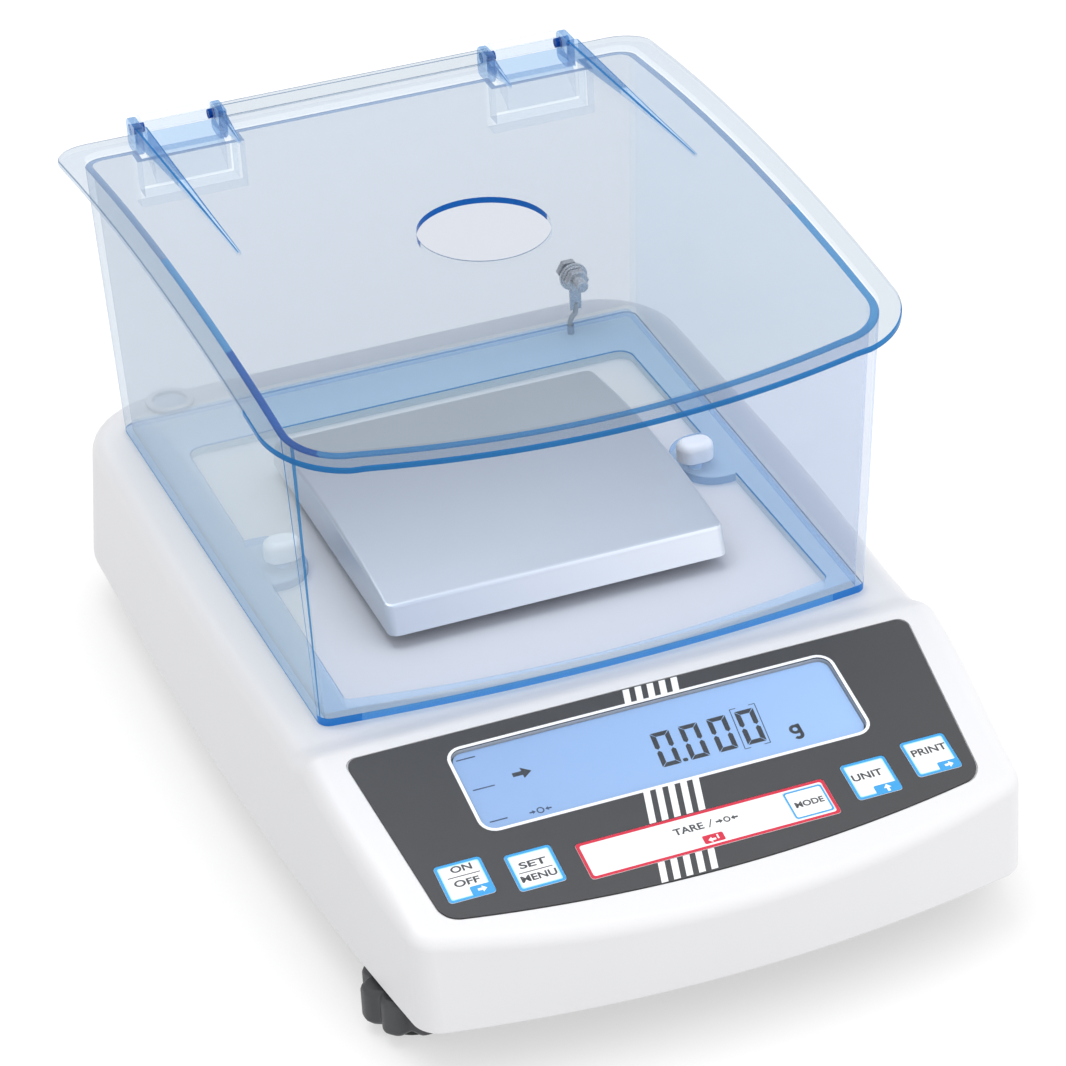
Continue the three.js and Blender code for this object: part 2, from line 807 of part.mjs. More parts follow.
function hingeBracket(left, right) {
  const wallY = shieldRearY + rimRearLean - pocketDepth - pocketWall / 2;
  const points = [
    [hingeY, hingeZ],
    [hingeY - knuckleRadius, hingeZ],
    [wallY, hingeZ - knuckleRadius],
    [wallY, hingeZ - pocketHeight],
    [hingeY + knuckleRadius * Math.SQRT1_2, hingeZ - knuckleRadius * Math.SQRT1_2],
  ];
  return sideView(points, left, right);
}

function makeShieldBody() {
  const loops = [
    fullLoop(baseOutline(0), () => flangeBottom),
    fullLoop(rimOutline(0), rimAt),
    fullLoop(rimOutline(shieldWall), rimAt),
    fullLoop(baseOutline(shieldWall), () => flangeBottom),
  ];
  let body = skin(loops, true);
  const opening = (z) => fullLoop(shieldOutline(
    baseFrontWidth - 2 * (shieldWall + flangeSide), baseFrontWidth - 2 * (shieldWall + flangeSide),
    shieldRearY - flangeRear, shieldFrontY + baseBow + flangeFront, flangeBow,
    flangeRearCorner, flangeFrontCorner, 0,
  ), () => z);
  const flange = skin([
    fullLoop(baseOutline(shieldWall / 2), () => flangeBottom),
    fullLoop(baseOutline(shieldWall / 2), () => flangeTop),
    opening(flangeTop),
    opening(flangeBottom),
  ], true);
  body = joined(body, flange);
  for (const side of [-1, 1]) {
    const outer = side * (baseFrontWidth / 2 - shieldWall / 2);
    const inner = side * (baseFrontWidth / 2 - shieldWall - flangeSide - tabReach);
    const tabX = (outer + inner) / 2;
    const tab = roundedBox(tabX, latchY, Math.abs(outer - inner), tabLength, tabCorner);
    const holeSize = latchShaftRadius + gap;
    const latchHole = post(holeSize, side * latchX, latchY, deckHeight - overrun, flangeTop + overrun);
    body = cutFrom(joined(body, raised(tab, flangeBottom, flangeBottom + tabThickness)), latchHole);
    const { left, right } = hingeEdges(side);
    const wallOut = shieldRearY + rimRearLean;
    const pocketFront = wallOut - pocketDepth;
    const pocketTop = rimAt(wallOut);
    const pocketShell = block(
      left - pocketWall - gap, pocketFront - pocketWall, pocketTop - pocketHeight - pocketWall,
      right + pocketWall + gap, wallOut - shieldWall / 2, pocketTop,
    );
    const pocketRoom = block(
      left - gap, pocketFront, pocketTop - pocketHeight, right + gap, wallOut + overrun, pocketTop + overrun,
    );
    body = cutFrom(joined(body, pocketShell), pocketRoom);
    const knuckleLeft = left + earThickness + earPlay;
    const knuckleRight = right - earThickness - earPlay;
    const knuckle = barX(knuckleRadius, knuckleLeft, knuckleRight, hingeY, hingeZ);
    body = joined(body, knuckle, hingeBracket(knuckleLeft, knuckleRight));
    body = cutFrom(body, barX(pinRadius + gap, left, right, hingeY, hingeZ));
  }
  const boltSize = groundBoltRadius + gap;
  const boltInside = groundWallIn - overrun;
  const boltHole = barY(boltSize, groundX, boltInside, groundWallOut + overrun, groundZ, coarseSteps);
  const wireSize = wireRadius + gap;
  const wireHole = post(wireSize, wireX, wireY, flangeBottom - overrun, flangeTop + overrun, coarseSteps);
  addPart('shield_body', cutFrom(body, boltHole, wireHole), clearBlue());
}

// Lid with its ribs, ears and upstand

// An ear seen from the side: a rib that rises towards the pin and rounds it
function earProfile(length) {
  const start = hingeY - length;
  const points = [[start, lidTopAt(start) - lidThickness / 2]];
  points.push([hingeY - earRadius, hingeZ + earRadius / 2]);
  for (let i = 0; i <= earSteps; i += 1) {
    const turn = Math.PI * (earStartShare - (earTurnShare * i) / earSteps);
    points.push([hingeY + earRadius * Math.cos(turn), hingeZ + earRadius * Math.sin(turn)]);
  }
  points.push([hingeY - earRadius, lidUnderAt(hingeY)]);
  for (const share of ribStopShares) {
    const y = hingeY - earRadius - (length - earRadius) * share;
    points.push([y, lidTopAt(y) - lidThickness / 2]);
  }
  return points;
}

function makeLid() {
  const outline = shieldOutline(
    lidRearWidth, lidFrontWidth, shieldRearY + lidRearReach, shieldFrontY + baseBow - lidFrontReach, lidBow,
    lidRearCorner, lidFrontCorner, 0,
  );
  let lid = skin([fullLoop(outline, lidUnderAt), fullLoop(outline, lidTopAt)]);
  const holeY = shieldFrontY + holeFromFront;
  const holeBottom = lidUnderAt(holeY) - overrun;
  lid = cutFrom(lid, post(holeRadius, 0, holeY, holeBottom, lidTopAt(holeY) + overrun, holeSteps));
  const rearEdge = shieldRearY + lidRearReach;
  const innerEar = hingeSpacing / 2 - hingeWidth / 2;
  const upstand = block(
    -innerEar - earThickness, rearEdge - upstandThickness, lidUnderAt(rearEdge),
    innerEar + earThickness, rearEdge, lidUnderAt(rearEdge) + upstandHeight,
  );
  lid = joined(lid, upstand);
  for (const side of [-1, 1]) {
    const { left, right } = hingeEdges(side);
    const notchFront = shieldRearY + rimRearLean - pocketDepth;
    lid = cutFrom(lid, block(
      left + earThickness, notchFront, lidUnderAt(rearEdge) - overrun,
      right - earThickness, rearEdge + overrun, lidTopAt(notchFront) + overrun,
    ));
    const leftLength = side < 0 ? ribLength : shortRibLength;
    const rightLength = side < 0 ? shortRibLength : ribLength;
    lid = joined(
      lid,
      sideView(earProfile(leftLength), left, left + earThickness),
      sideView(earProfile(rightLength), right - earThickness, right),
    );
    lid = cutFrom(lid, barX(pinRadius + seatGap, left - overrun, right + overrun, hingeY, hingeZ));
    const name = side < 0 ? 'hinge_pin_left' : 'hinge_pin_right';
    addPart(name, barX(pinRadius, left, right, hingeY, hingeZ), machinedSteel());
  }
  addPart('shield_lid', lid, clearBlue());
}

// Latches: knob and shaft above, cam under the deck

function makeLatches() {
  const knobBottom = flangeBottom + tabThickness + gap;
  const camTop = deckUnder - gap;
  for (const side of [-1, 1]) {
    const name = side < 0 ? 'left' : 'right';
    const x = side * latchX;
    const disc = post(knobRadius, x, latchY, knobBottom, knobBottom + knobDiscHeight);
    const grip = raised(
      roundedBox(x, latchY, knobLength, knobRadius * 2 - gap, knobRadius - gap),
      knobBottom,
      knobBottom + knobHeight,
    );
    const shaft = post(latchShaftRadius, x, latchY, camTop + seatGap, knobBottom + knobHeight / 2);
    addPart(`shield_latch_${name}`, joined(disc, grip, shaft), keyWhite());
    const cam = raised(roundedBox(x, latchY, camLength, camWidth, camCorner), camTop - camThickness, camTop);
    addPart(`latch_cam_${name}`, cam, machinedSteel());
  }
}

// Weighing pan: a thin crowned sheet with a skirt all round

function panTopAt(y, lower) {
  const share = (y - panY) / (panDepth / 2);
  return deckHeight + panEdgeHeight + panCrown * Math.max(0, 1 - share * share) - lower;
}

function makePan() {
  const half = panDepth / 2;
  const profile = (lower, cut) => {
    const reach = half - cut;
    const bottom = deckHeight + panEdgeHeight - panSkirt - (cut > 0 ? overrun : 0);
    const points = [[panY + reach + panFlare, bottom]];
    for (let i = 0; i <= bowSteps * 2; i += 1) {
      const y = panY + reach - (2 * reach * i) / (bowSteps * 2);
      points.push([y, panTopAt(y, lower)]);
    }
    points.push([panY - reach - panFlare, bottom]);
    return points.reverse();
  };
  const outer = sideView(profile(0, 0), -panWidth / 2, panWidth / 2);
  const inner = sideView(profile(panSheet, panSheet), -panWidth / 2 + panSheet, panWidth / 2 - panSheet);
  addPart('weighing_pan', cutFrom(outer, inner), brushedSteel());

  const supportTop = deckHeight + supportRise + supportThickness;
  const supportBottom = deckHeight + supportRise;
  const arm = (turn) => {
    const geometry = new THREE.BoxGeometry(2 * supportArm, supportArmWidth, supportThickness);
    geometry.rotateZ(turn);
    geometry.translate(0, panY, (supportTop + supportBottom) / 2);
    return solidOf(geometry);
  };
  const hub = post(supportArmWidth, 0, panY, supportBottom, supportTop);
  const support = joined(arm(Math.PI / 4), arm(-Math.PI / 4), hub);
  addPart('pan_support', support, castAluminium());
  const padAway = (supportArm - padRadius - gap) * Math.SQRT1_2;
  for (const row of ['front', 'rear']) {
    for (const column of ['left', 'right']) {
      const x = column === 'left' ? -padAway : padAway;
      const y = panY + (row === 'front' ? -padAway : padAway);
      const lowest = Math.min(panTopAt(y - padRadius, panSheet), panTopAt(y + padRadius, panSheet));
      const pad = post(padRadius, x, y, supportTop + seatGap, lowest - seatGap);
      addPart(`pan_pad_${row}_${column}`, pad, blackRubber());
    }
  }

  const cellTop = cellBottom + cellHeight;
  const cellFront = panY - cellWidth / 2;
  const cellRear = cellFront + cellLength;
  const cellMiddleY = (cellFront + cellRear) / 2;
  const cellMiddleZ = (cellBottom + cellTop) / 2;
  const holes = [-1, 1].map((way) => barX(
    cellHoleRadius, -cellWidth, cellWidth, cellMiddleY + (way * cellHoleSpacing) / 2, cellMiddleZ,
  ));
  const slot = block(
    -cellWidth, cellMiddleY - cellHoleSpacing / 2, cellMiddleZ - cellSlot / 2,
    cellWidth, cellMiddleY + cellHoleSpacing / 2, cellMiddleZ + cellSlot / 2,
  );
  const beam = block(-cellWidth / 2, cellFront, cellBottom, cellWidth / 2, cellRear, cellTop);
  addPart('load_cell', cutFrom(beam, ...holes, slot), castAluminium());
  const foot = block(
    -cellWidth / 2, cellRear - cellFootLength, baseTop + seatGap,
    cellWidth / 2, cellRear, cellBottom - seatGap,
  );
  addPart('load_cell_mount', foot, machinedSteel());
  const spindle = joined(
    post(spindleRadius, 0, panY, cellTop + seatGap, supportBottom - seatGap),
    post(spindleFootRadius, 0, panY, cellTop + seatGap, cellTop + supportThickness),
  );
  addPart('pan_spindle', spindle, machinedSteel());
}

// Earthing point and its lead

function makeGround() {
  const headY = groundWallOut + gap;
  const head = barY(groundHeadRadius, groundX, headY, headY + groundHeadHeight, groundZ, hexSides);
  const tipY = nutY - nutHeight - boltTip;
  const shank = barY(groundBoltRadius, groundX, tipY, headY + groundHeadHeight / 2, groundZ, coarseSteps);
  addPart('ground_bolt', joined(head, shank), machinedSteel());
  const hole = (back, front) => barY(groundBoltRadius + gap / 2, groundX, front, back, groundZ, coarseSteps);
  const washer = barY(washerRadius, groundX, washerY - washerThickness, washerY, groundZ);
  addPart('ground_washer', cutFrom(washer, hole(washerY + overrun, washerY - overrun)), machinedSteel());
  const ring = barY(lugRadius, groundX, lugY - lugThickness, lugY, groundZ);
  const tail = block(
    groundX - lugTail / 2, lugY - lugThickness, groundZ - lugLength, groundX + lugTail / 2, lugY, groundZ,
  );
  addPart('ground_lug', cutFrom(joined(ring, tail), hole(lugY + overrun, lugY - overrun)), machinedSteel());
  const nut = barY(nutRadius, groundX, nutY - nutHeight, nutY, groundZ, hexSides);
  addPart('ground_nut', cutFrom(nut, hole(nutY + overrun, nutY - nutHeight - overrun)), machinedSteel());

  const lugEnd = groundZ - lugLength;
  const route = new THREE.CatmullRomCurve3([
    new THREE.Vector3(groundX, lugMiddleY, lugEnd - gap),
    new THREE.Vector3(groundX, lugMiddleY, lugEnd - wireRadius * 2),
    new THREE.Vector3((groundX + wireX) / 2, wireY, (lugEnd * 2 + flangeTop) / 3),
    new THREE.Vector3(wireX, wireY, flangeTop + wireRadius),
    new THREE.Vector3(wireX, wireY, flangeBottom - wireRadius),
    new THREE.Vector3(wireX, wireY, deckUnder - wireDrop),
  ]);
  const section = new THREE.Shape().absarc(0, 0, wireRadius, 0, 2 * Math.PI);
  const lead = new THREE.ExtrudeGeometry(section, {
    extrudePath: route,
    steps: wireSteps,
    curveSegments: wireArcSteps,
    bevelEnabled: false,
  });
  addPart('ground_wire', solidOf(lead), greyWire());
}

// Base plate, feet, boards, sockets, screws and level

function makeBase() {
  const inset = housingWall + baseGap;
  const outline = housingOutline(inset, noseFootBow, noseFootBack);
  const baseShareAt = (y) => draftShare(baseTop, y);
  let base = skin([
    fullLoop(outline, () => underside + gap, baseShareAt),
    fullLoop(outline, () => baseTop, baseShareAt),
  ]);
  for (const place of footPlaces()) {
    const bossTop = baseTop + footBossHeight;
    const boss = post(footBossRadius, place.x, place.y, underside + gap, bossTop);
    const thread = post(footStudRadius + gap, place.x, place.y, underside - overrun, bossTop + overrun);
    base = cutFrom(joined(base, boss), thread);
  }
  const boardY = frontY + boardFromFront + boardDepth / 2;
  for (const wayX of [-1, 1]) {
    for (const wayY of [-1, 1]) {
      const x = wayX * (boardWidth / 2 - boardInset);
      const y = boardY + wayY * (boardDepth / 2 - boardInset);
      const standoffTop = baseTop + boardStandoff;
      base = joined(base, post(standoffRadius, x, y, baseTop - baseThickness / 2, standoffTop, coarseSteps));
    }
  }
  for (const place of screwPlaces()) {
    const headTop = underside + gap + screwHeadHeight;
    base = cutFrom(
      base,
      post(screwHeadRadius + gap, place.x, place.y, underside - overrun, headTop + gap / 2),
      post(screwRadius + gap / 2, place.x, place.y, underside - overrun, baseTop + overrun),
    );
    const head = post(screwHeadRadius, place.x, place.y, underside + gap, headTop);
    const shankBottom = headTop - screwHeadHeight / 2;
    const shank = post(screwRadius, place.x, place.y, shankBottom, underside + screwLength, coarseSteps);
    addPart(`housing_screw_${place.name}`, joined(head, shank), machinedSteel());
  }
  addPart('base_plate', base, castAluminium());
  const boardBase = baseTop + boardStandoff + seatGap;
  const board = block(
    -boardWidth / 2, boardY - boardDepth / 2, boardBase,
    boardWidth / 2, boardY + boardDepth / 2, boardBase + boardThickness,
  );
  addPart('main_board', board, boardGreen());
}

function makeFeet() {
  for (const place of footPlaces()) {
    const pad = post(footPadRadius, place.x, place.y, 0, footPadHeight, fineSteps);
    addPart(`foot_pad_${place.name}`, pad, blackRubber());
    const rim = [];
    const count = wheelLobes * lobeSteps;
    for (let i = 0; i < count; i += 1) {
      const turn = (2 * Math.PI * i) / count;
      const reach = wheelRadius - wheelLobeDepth * (0.5 - 0.5 * Math.cos(wheelLobes * turn)) ** 2;
      rim.push(new THREE.Vector2(place.x + reach * Math.cos(turn), place.y + reach * Math.sin(turn)));
    }
    const wheelBottom = footPadHeight + gap;
    const wheel = raised(new THREE.Shape(rim), wheelBottom, wheelBottom + wheelHeight);
    const wheelTop = wheelBottom + wheelHeight;
    const stud = post(footStudRadius, place.x, place.y, wheelTop - overrun, wheelTop + footStudLength);
    addPart(`foot_wheel_${place.name}`, joined(wheel, stud), darkPlastic());
  }
}

function makeSockets() {
  const face = rearY - gap;
  const jack = barY(jackRadius, jackX, face - jackLength, face, socketHeight);
  const jackHole = barY(jackBore, jackX, face - jackBoreDepth, face + overrun, socketHeight);
  addPart('power_jack', cutFrom(jack, jackHole), darkPlastic());
  const body = block(
    portX - portWidth / 2, face - portLength, socketHeight - portHeight / 2,
    portX + portWidth / 2, face, socketHeight + portHeight / 2,
  );
  const mouth = block(
    portX - portWidth / 2 + portSideLip, face - portLength / 2, socketHeight - portHeight / 2 + portLip,
    portX + portWidth / 2 - portSideLip, face + overrun, socketHeight + portHeight / 2 - portLip,
  );
  addPart('data_port', cutFrom(body, mouth), machinedSteel());
}

function makeLevel() {
  const bottom = deckHeight - levelDepth;
  const rimTop = deckHeight + gap + levelRim;
  const cup = joined(
    post(levelRadius, levelX, levelY, bottom, rimTop),
    post(levelRadius + levelRim, levelX, levelY, deckHeight + gap, rimTop),
  );
  const bore = levelRadius - levelRim;
  addPart(
    'level_cup',
    cutFrom(cup, post(bore, levelX, levelY, bottom + levelRim, rimTop + overrun)),
    whitePlastic(),
  );
  const vial = joined(
    post(bore - gap, levelX, levelY, bottom + levelRim + gap, rimTop),
    post(bore - gap - levelDome, levelX, levelY, rimTop - levelDome, rimTop + levelDome),
  );
  addPart('level_vial', vial, clearPane());
}

makeHousing();
makePanel();
makeShieldBody();
makeLid();
makeLatches();
makePan();
makeGround();
makeBase();
makeFeet();
makeSockets();
makeLevel();

export default balance;
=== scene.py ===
# The looks of the precision balance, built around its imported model.
# Shapes are worked out in millimetres, with +Z up and the front facing -Y, and turned into metres at the end.
import json
import math

import bmesh
import bpy
from mathutils import Matrix, Vector


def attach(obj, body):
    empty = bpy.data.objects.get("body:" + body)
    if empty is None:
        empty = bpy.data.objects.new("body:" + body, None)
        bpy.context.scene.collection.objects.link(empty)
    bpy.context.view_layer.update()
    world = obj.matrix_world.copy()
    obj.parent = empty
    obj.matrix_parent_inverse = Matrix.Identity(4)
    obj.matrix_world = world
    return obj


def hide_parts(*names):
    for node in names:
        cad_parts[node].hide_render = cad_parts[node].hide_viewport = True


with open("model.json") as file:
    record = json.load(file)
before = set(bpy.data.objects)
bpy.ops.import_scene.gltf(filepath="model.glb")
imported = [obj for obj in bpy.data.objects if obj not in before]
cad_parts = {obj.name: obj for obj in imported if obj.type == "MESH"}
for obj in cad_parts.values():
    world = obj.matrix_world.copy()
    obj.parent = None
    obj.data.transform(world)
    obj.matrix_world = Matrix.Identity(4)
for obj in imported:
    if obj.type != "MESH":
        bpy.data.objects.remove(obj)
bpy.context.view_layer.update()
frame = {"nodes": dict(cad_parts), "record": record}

METRE = 0.001
QUARTER = math.pi / 2
side_names = {-1: "left", 1: "right"}

# Camera, fitted to the photograph
photo_width = 1066
focal_pixels = 3924.07
sensor_width = 36
camera_azimuth = math.radians(-19.77)
camera_height_angle = math.radians(31.70)
camera_roll = math.radians(-2.93)
camera_distance = 1199.58
camera_target = Vector((0, 0, 74.93))
light_aim = Vector((0, 0, 0.05))
# The way in which the surroundings get brighter
brighter_way = (0.60, -0.66, 0.30)
floor_size = 18000

# Housing
housing_width = 214.2
housing_depth = 322
deck_height = 61
underside = 18
housing_wall = 2.8
rear_corner = 30
front_corner = 9
front_bow = 15.5
least_corner = 1.5
side_shoulder = 6
front_shoulder = 3.4
shoulder_front_y = -150
shoulder_side_y = -118
side_draft = 3.5
draft_from_front = 66
draft_full_from_front = 126
nose_taper = 13.5
nose_taper_depth = 221
nose_taper_power = 2
nose_foot_back = 3.2
nose_foot_bow = 10.3
foot_round = 0.9
panel_slope = math.radians(13.1)
panel_run = 84
crest_rise = 4
crest_ramp = 15
crest_setback = 3

# Front foil, display and keys, measured down the sloped panel
foil_half_width = 88.5
foil_narrowing = 13
foil_side = 65
foil_bow = 8
foil_top_corner = 3.5
foil_bottom_corner = 7
foil_recess = 0.5
foil_margin = 0.4
foil_bottom = -0.35
foil_top = 0.15
window_width = 119
window_height = 31.6
window_top = 6.6
window_corner = 4
window_thickness = 1
window_border = 1.1
window_gap = 0.1
display_margin = 0.5
display_drop = 0.3
display_thickness = 3
key_size = (14, 14)
key_corner = 1.2
key_thickness = 1.6
key_gap = 0.1
deep_gap = 0.3
key_stem = 1.8
edge_break = 0.12
top_break = 0.05
outer_key_x = 71.6
outer_key_down = 53.2
inner_key_x = 51.6
inner_key_down = 55.6
tare_width = 76.4
tare_height = 13.8
tare_down = 58.1
tare_stem_x = -12
mode_x = 30.8
mode_width = 12.4
mode_height = 10.8
print_thickness = 0.03
bar_x0 = 5.95
bar_lean = 0.245
bar_pitch = 3.78
bar_width = 2.0

# Draft shield
shield_rear_y = 141
shield_front_y = -58.6
shield_wall = 2.4
shield_base_z = 61.3
rim_top = 163.7
rim_drop = 6
rim_drop_reach = 103
rim_crest_y = 41.3
base_rear_half = 91
base_front_half = 87.4
base_bow = 5.5
base_corner = 4
rim_rear_half = 94.3
rim_front_half = 91.3
rim_bow = 13.7
rim_front_lean = 9.4
rim_rear_lean = 3.3
rim_front_corner = 19
rim_rear_corner = 7
flange_top_z = 64.3
flange_half = 77.3
flange_rear_y = 112.4
flange_front_y = -46
flange_bow = 8.4
flange_rear_corner = 5
flange_front_corner = 2
tab_reach = 14.4
tab_length = 29
tab_corner = 11
latch_x = 69.4
latch_y = 36.6
latch_hole = 2.3
bolt_hole = 2.3
lead_hole = 1.2

# Lid and hinges
lid_gap = 0.3
lid_thickness = 2
lid_front_half = 97.2
lid_rear_half = 101.9
lid_front_reach = 15.9
lid_rear_reach = 12.5
lid_bow = 15
lid_front_corner = 27
lid_rear_corner = 12
hole_radius = 20.3
hole_y = 29.7
hinge_x = 60
hinge_width = 31
hinge_y = 151
hinge_z = 161.8
ear_thickness = 3
ear_radius = 5
ear_play = 0.6
ear_rise = 3.2
ear_drop = 7.4
ear_round = 2.4
knuckle_radius = 4.2
pin_radius = 1.6
long_rib = 104
rib_lean = 2.6
short_rib = 24
upstand_height = 7
upstand_thickness = 2.2
lid_low = 150
lid_high = 175
pocket_depth = 7
pocket_height = 14
pocket_wall = 2
pocket_gap = 0.3

# Pan
pan_y = 34.5
pan_half_depth = 54.5
pan_half_width = 55
pan_edge_z = 74
pan_crown = 4.5
pan_bottom_z = 65.5
pan_flare = 3
pan_sheet = 1
pan_corner = 3
pan_round = 1.3

# Feet, earthing point and level
foot_x = 85.2
foot_y = 116
wheel_radius = 15
wheel_lobes = 8
wheel_hollow = 2.6
wheel_steps = 192
ground_x = 69
ground_z = 81
lead_x = ground_x - 2.7
level_x = -72
level_y = 150
socket_z = 36
jack_x = 56
port_x = -22
jack_radius = 5.5
port_half_width = 15.5
port_half_height = 6.25
spindle_hole = 8
level_hole = 7.3
# Heights between which holes are cut through the deck and the flange
deck_cut = (52, 66)
flange_cut = (58, 68)


# Shapes: lists of corners and faces, each face with the number of its finish


class Form:
    def __init__(self):
        self.points = []
        self.faces = []
        self.finishes = []

    def add(self, points, faces, finish=0):
        start = len(self.points)
        self.points += [Vector(p) for p in points]
        self.faces += [[start + i for i in face] for face in faces]
        self.finishes += list(finish) if isinstance(finish, (list, tuple)) else [finish] * len(faces)
        return self

    def join(self, other):
        return self.add(other.points, other.faces, other.finishes)

    def moved(self, matrix):
        self.points = [matrix @ p for p in self.points]
        return self

    def piece(self, name, *surfaces):
        """A mesh object in metres, with the surfaces of these names."""
        mesh = bpy.data.meshes.new(name)
        mesh.from_pydata([p * METRE for p in self.points], [], self.faces)
        for surface in surfaces:
            mesh.materials.append(looks[surface])
        mesh.polygons.foreach_set("material_index", self.finishes)
        tidy = bmesh.new()
        tidy.from_mesh(mesh)
        bmesh.ops.recalc_face_normals(tidy, faces=tidy.faces)
        tidy.to_mesh(mesh)
        tidy.free()
        found = bpy.data.objects.new(name, mesh)
        bpy.context.scene.collection.objects.link(found)
        return found


def settle(piece):
    """Applies the piece's modifiers to its mesh."""
    view = bpy.context.evaluated_depsgraph_get()
    mesh = bpy.data.meshes.new_from_object(piece.evaluated_get(view))
    old = piece.data
    piece.modifiers.clear()
    piece.data = mesh
    bpy.data.meshes.remove(old)
    return piece


def combine(piece, operation, *others):
    """Cuts forms or pieces from the piece, or joins them to it; their faces keep their finishes."""
    for other in others:
        if isinstance(other, Form):
            other = other.piece("other")
            for surface in piece.data.materials:
                other.data.materials.append(surface)
        step = piece.modifiers.new("combine", "BOOLEAN")
        step.operation = operation
        step.solver = "EXACT"
        step.object = other
        settle(piece)
        bpy.data.objects.remove(other)
    return piece


def cut(piece, *others):
    return combine(piece, "DIFFERENCE", *others)


def fuse(piece, *others):
    return combine(piece, "UNION", *others)


def rounded(piece, width):
    bevel = piece.modifiers.new("bevel", "BEVEL")
    bevel.width = width * METRE
    bevel.segments = 2
    bevel.limit_method = "ANGLE"
    bevel.angle_limit = math.radians(30)
    bevel.harden_normals = False
    return settle(piece)


def smoothed(piece, angle=30):
    """Smooth shading with sharp creases, where large faces keep their own direction."""
    mesh = piece.data
    mesh.polygons.foreach_set("use_smooth", [True] * len(mesh.polygons))
    mesh.set_sharp_from_angle(angle=math.radians(angle))
    weigh = piece.modifiers.new("weigh", "WEIGHTED_NORMAL")
    weigh.keep_sharp = True
    return settle(piece)


def dress(piece, body, slot, *nodes, angle=30):
    """Finishes a piece: its shading, the body it rides on and the CAD nodes it stands for; slot is not used.
    """
    smoothed(piece, angle)
    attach(piece, body)
    if nodes:
        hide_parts(*nodes)
    return piece


def tagged(piece, choose):
    """Gives each face the finish that choose picks from its middle, its finish so far and its direction."""
    for face in piece.data.polygons:
        face.material_index = choose(face.center / METRE, face.material_index, face.normal)
    return piece


# Simple outlines, as lists of 2-D points


def arc(x, y, radius, start, end, steps):
    return [
        Vector((x + radius * math.cos(a), y + radius * math.sin(a)))
        for a in (start + (end - start) * i / steps for i in range(steps + 1))
    ]


def circle(radius, x=0, y=0, steps=32):
    return arc(x, y, radius, 0, 2 * math.pi, steps)[:-1]


def rounded_box(x, y, width, height, radius, steps=6):
    right, top = x + width / 2 - radius, y + height / 2 - radius
    left, low = x - width / 2 + radius, y - height / 2 + radius
    return (
        arc(right, top, radius, 0, QUARTER, steps)
        + arc(left, top, radius, QUARTER, 2 * QUARTER, steps)
        + arc(left, low, radius, 2 * QUARTER, 3 * QUARTER, steps)
        + arc(right, low, radius, 3 * QUARTER, 4 * QUARTER, steps)
    )


def skin(loops, rows):
    """The faces between loops of equal length; the last loop may go on to the first."""
    count = len(loops[0])
    faces = []
    for row in range(rows):
        a, b = row * count, (row + 1) % len(loops) * count
        faces += [[a + i, a + (i + 1) % count, b + (i + 1) % count, b + i] for i in range(count)]
    return faces


def stack(loops, finish=0):
    """Loops joined by a skin, with one face at each end; finish is one for all faces, or a list."""
    count = len(loops[0])
    last = (len(loops) - 1) * count
    caps = [list(range(count - 1, -1, -1)), list(range(last, last + count))]
    return Form().add([p for loop in loops for p in loop], skin(loops, len(loops) - 1) + caps, finish)


def at_height(outline, z):
    return [(p[0], p[1], z) for p in outline]


def raised(outline, z0, z1, finish=0):
    """A flat outline made thick from z0 to z1."""
    return stack([at_height(outline, z0), at_height(outline, z1)], finish)


def ring(outer, inner, z0, z1):
    """The band between two outlines of equal length, made thick from z0 to z1."""
    places = ((outer, z0), (outer, z1), (inner, z1), (inner, z0))
    return loft([at_height(outline, z) for outline, z in places], True)


def block(x0, y0, z0, x1, y1, z1, finish=0):
    return raised([(x0, y0), (x1, y0), (x1, y1), (x0, y1)], z0, z1, finish)


def post(radius, x, y, z0, z1, finish=0):
    return raised(circle(radius, x, y), z0, z1, finish)


def bar_x(radius, x0, x1, y, z, steps=32, finish=0):
    turn = Matrix.Translation((0, y, z)) @ Matrix.Rotation(QUARTER, 4, "Y")
    return raised(circle(radius, steps=steps), x0, x1, finish).moved(turn)


def bar_y(radius, x, y0, y1, z, steps=32, finish=0):
    turn = Matrix.Translation((x, 0, z)) @ Matrix.Rotation(-QUARTER, 4, "X")
    return raised(circle(radius, steps=steps), y0, y1, finish).moved(turn)


def side_view(points, x0, x1, finish=0):
    """A side view, given as (y, z) points, made thick from x0 to x1."""
    form = raised(points, x0, x1, finish)
    form.points = [Vector((p.z, p.x, p.y)) for p in form.points]
    return form


def turned(profile):
    """A round body about Z, from (radius, z) points."""
    return stack([at_height(circle(radius, steps=48), z) for radius, z in profile])


# Outlines that are alike on both sides: the right half runs from the rear to the front

rear_arc_steps = 12


def corner_arc(before, corner, after, radius, steps):
    back = (before - corner).normalized()
    ahead = (after - corner).normalized()
    half = math.acos(back.dot(ahead)) / 2
    middle = corner + (back + ahead).normalized() * (radius / math.sin(half))
    start = corner + back * (radius / math.tan(half)) - middle
    turn = 2 * half - math.pi
    return [middle + Matrix.Rotation(turn * i / steps, 2) @ start for i in range(steps + 1)]


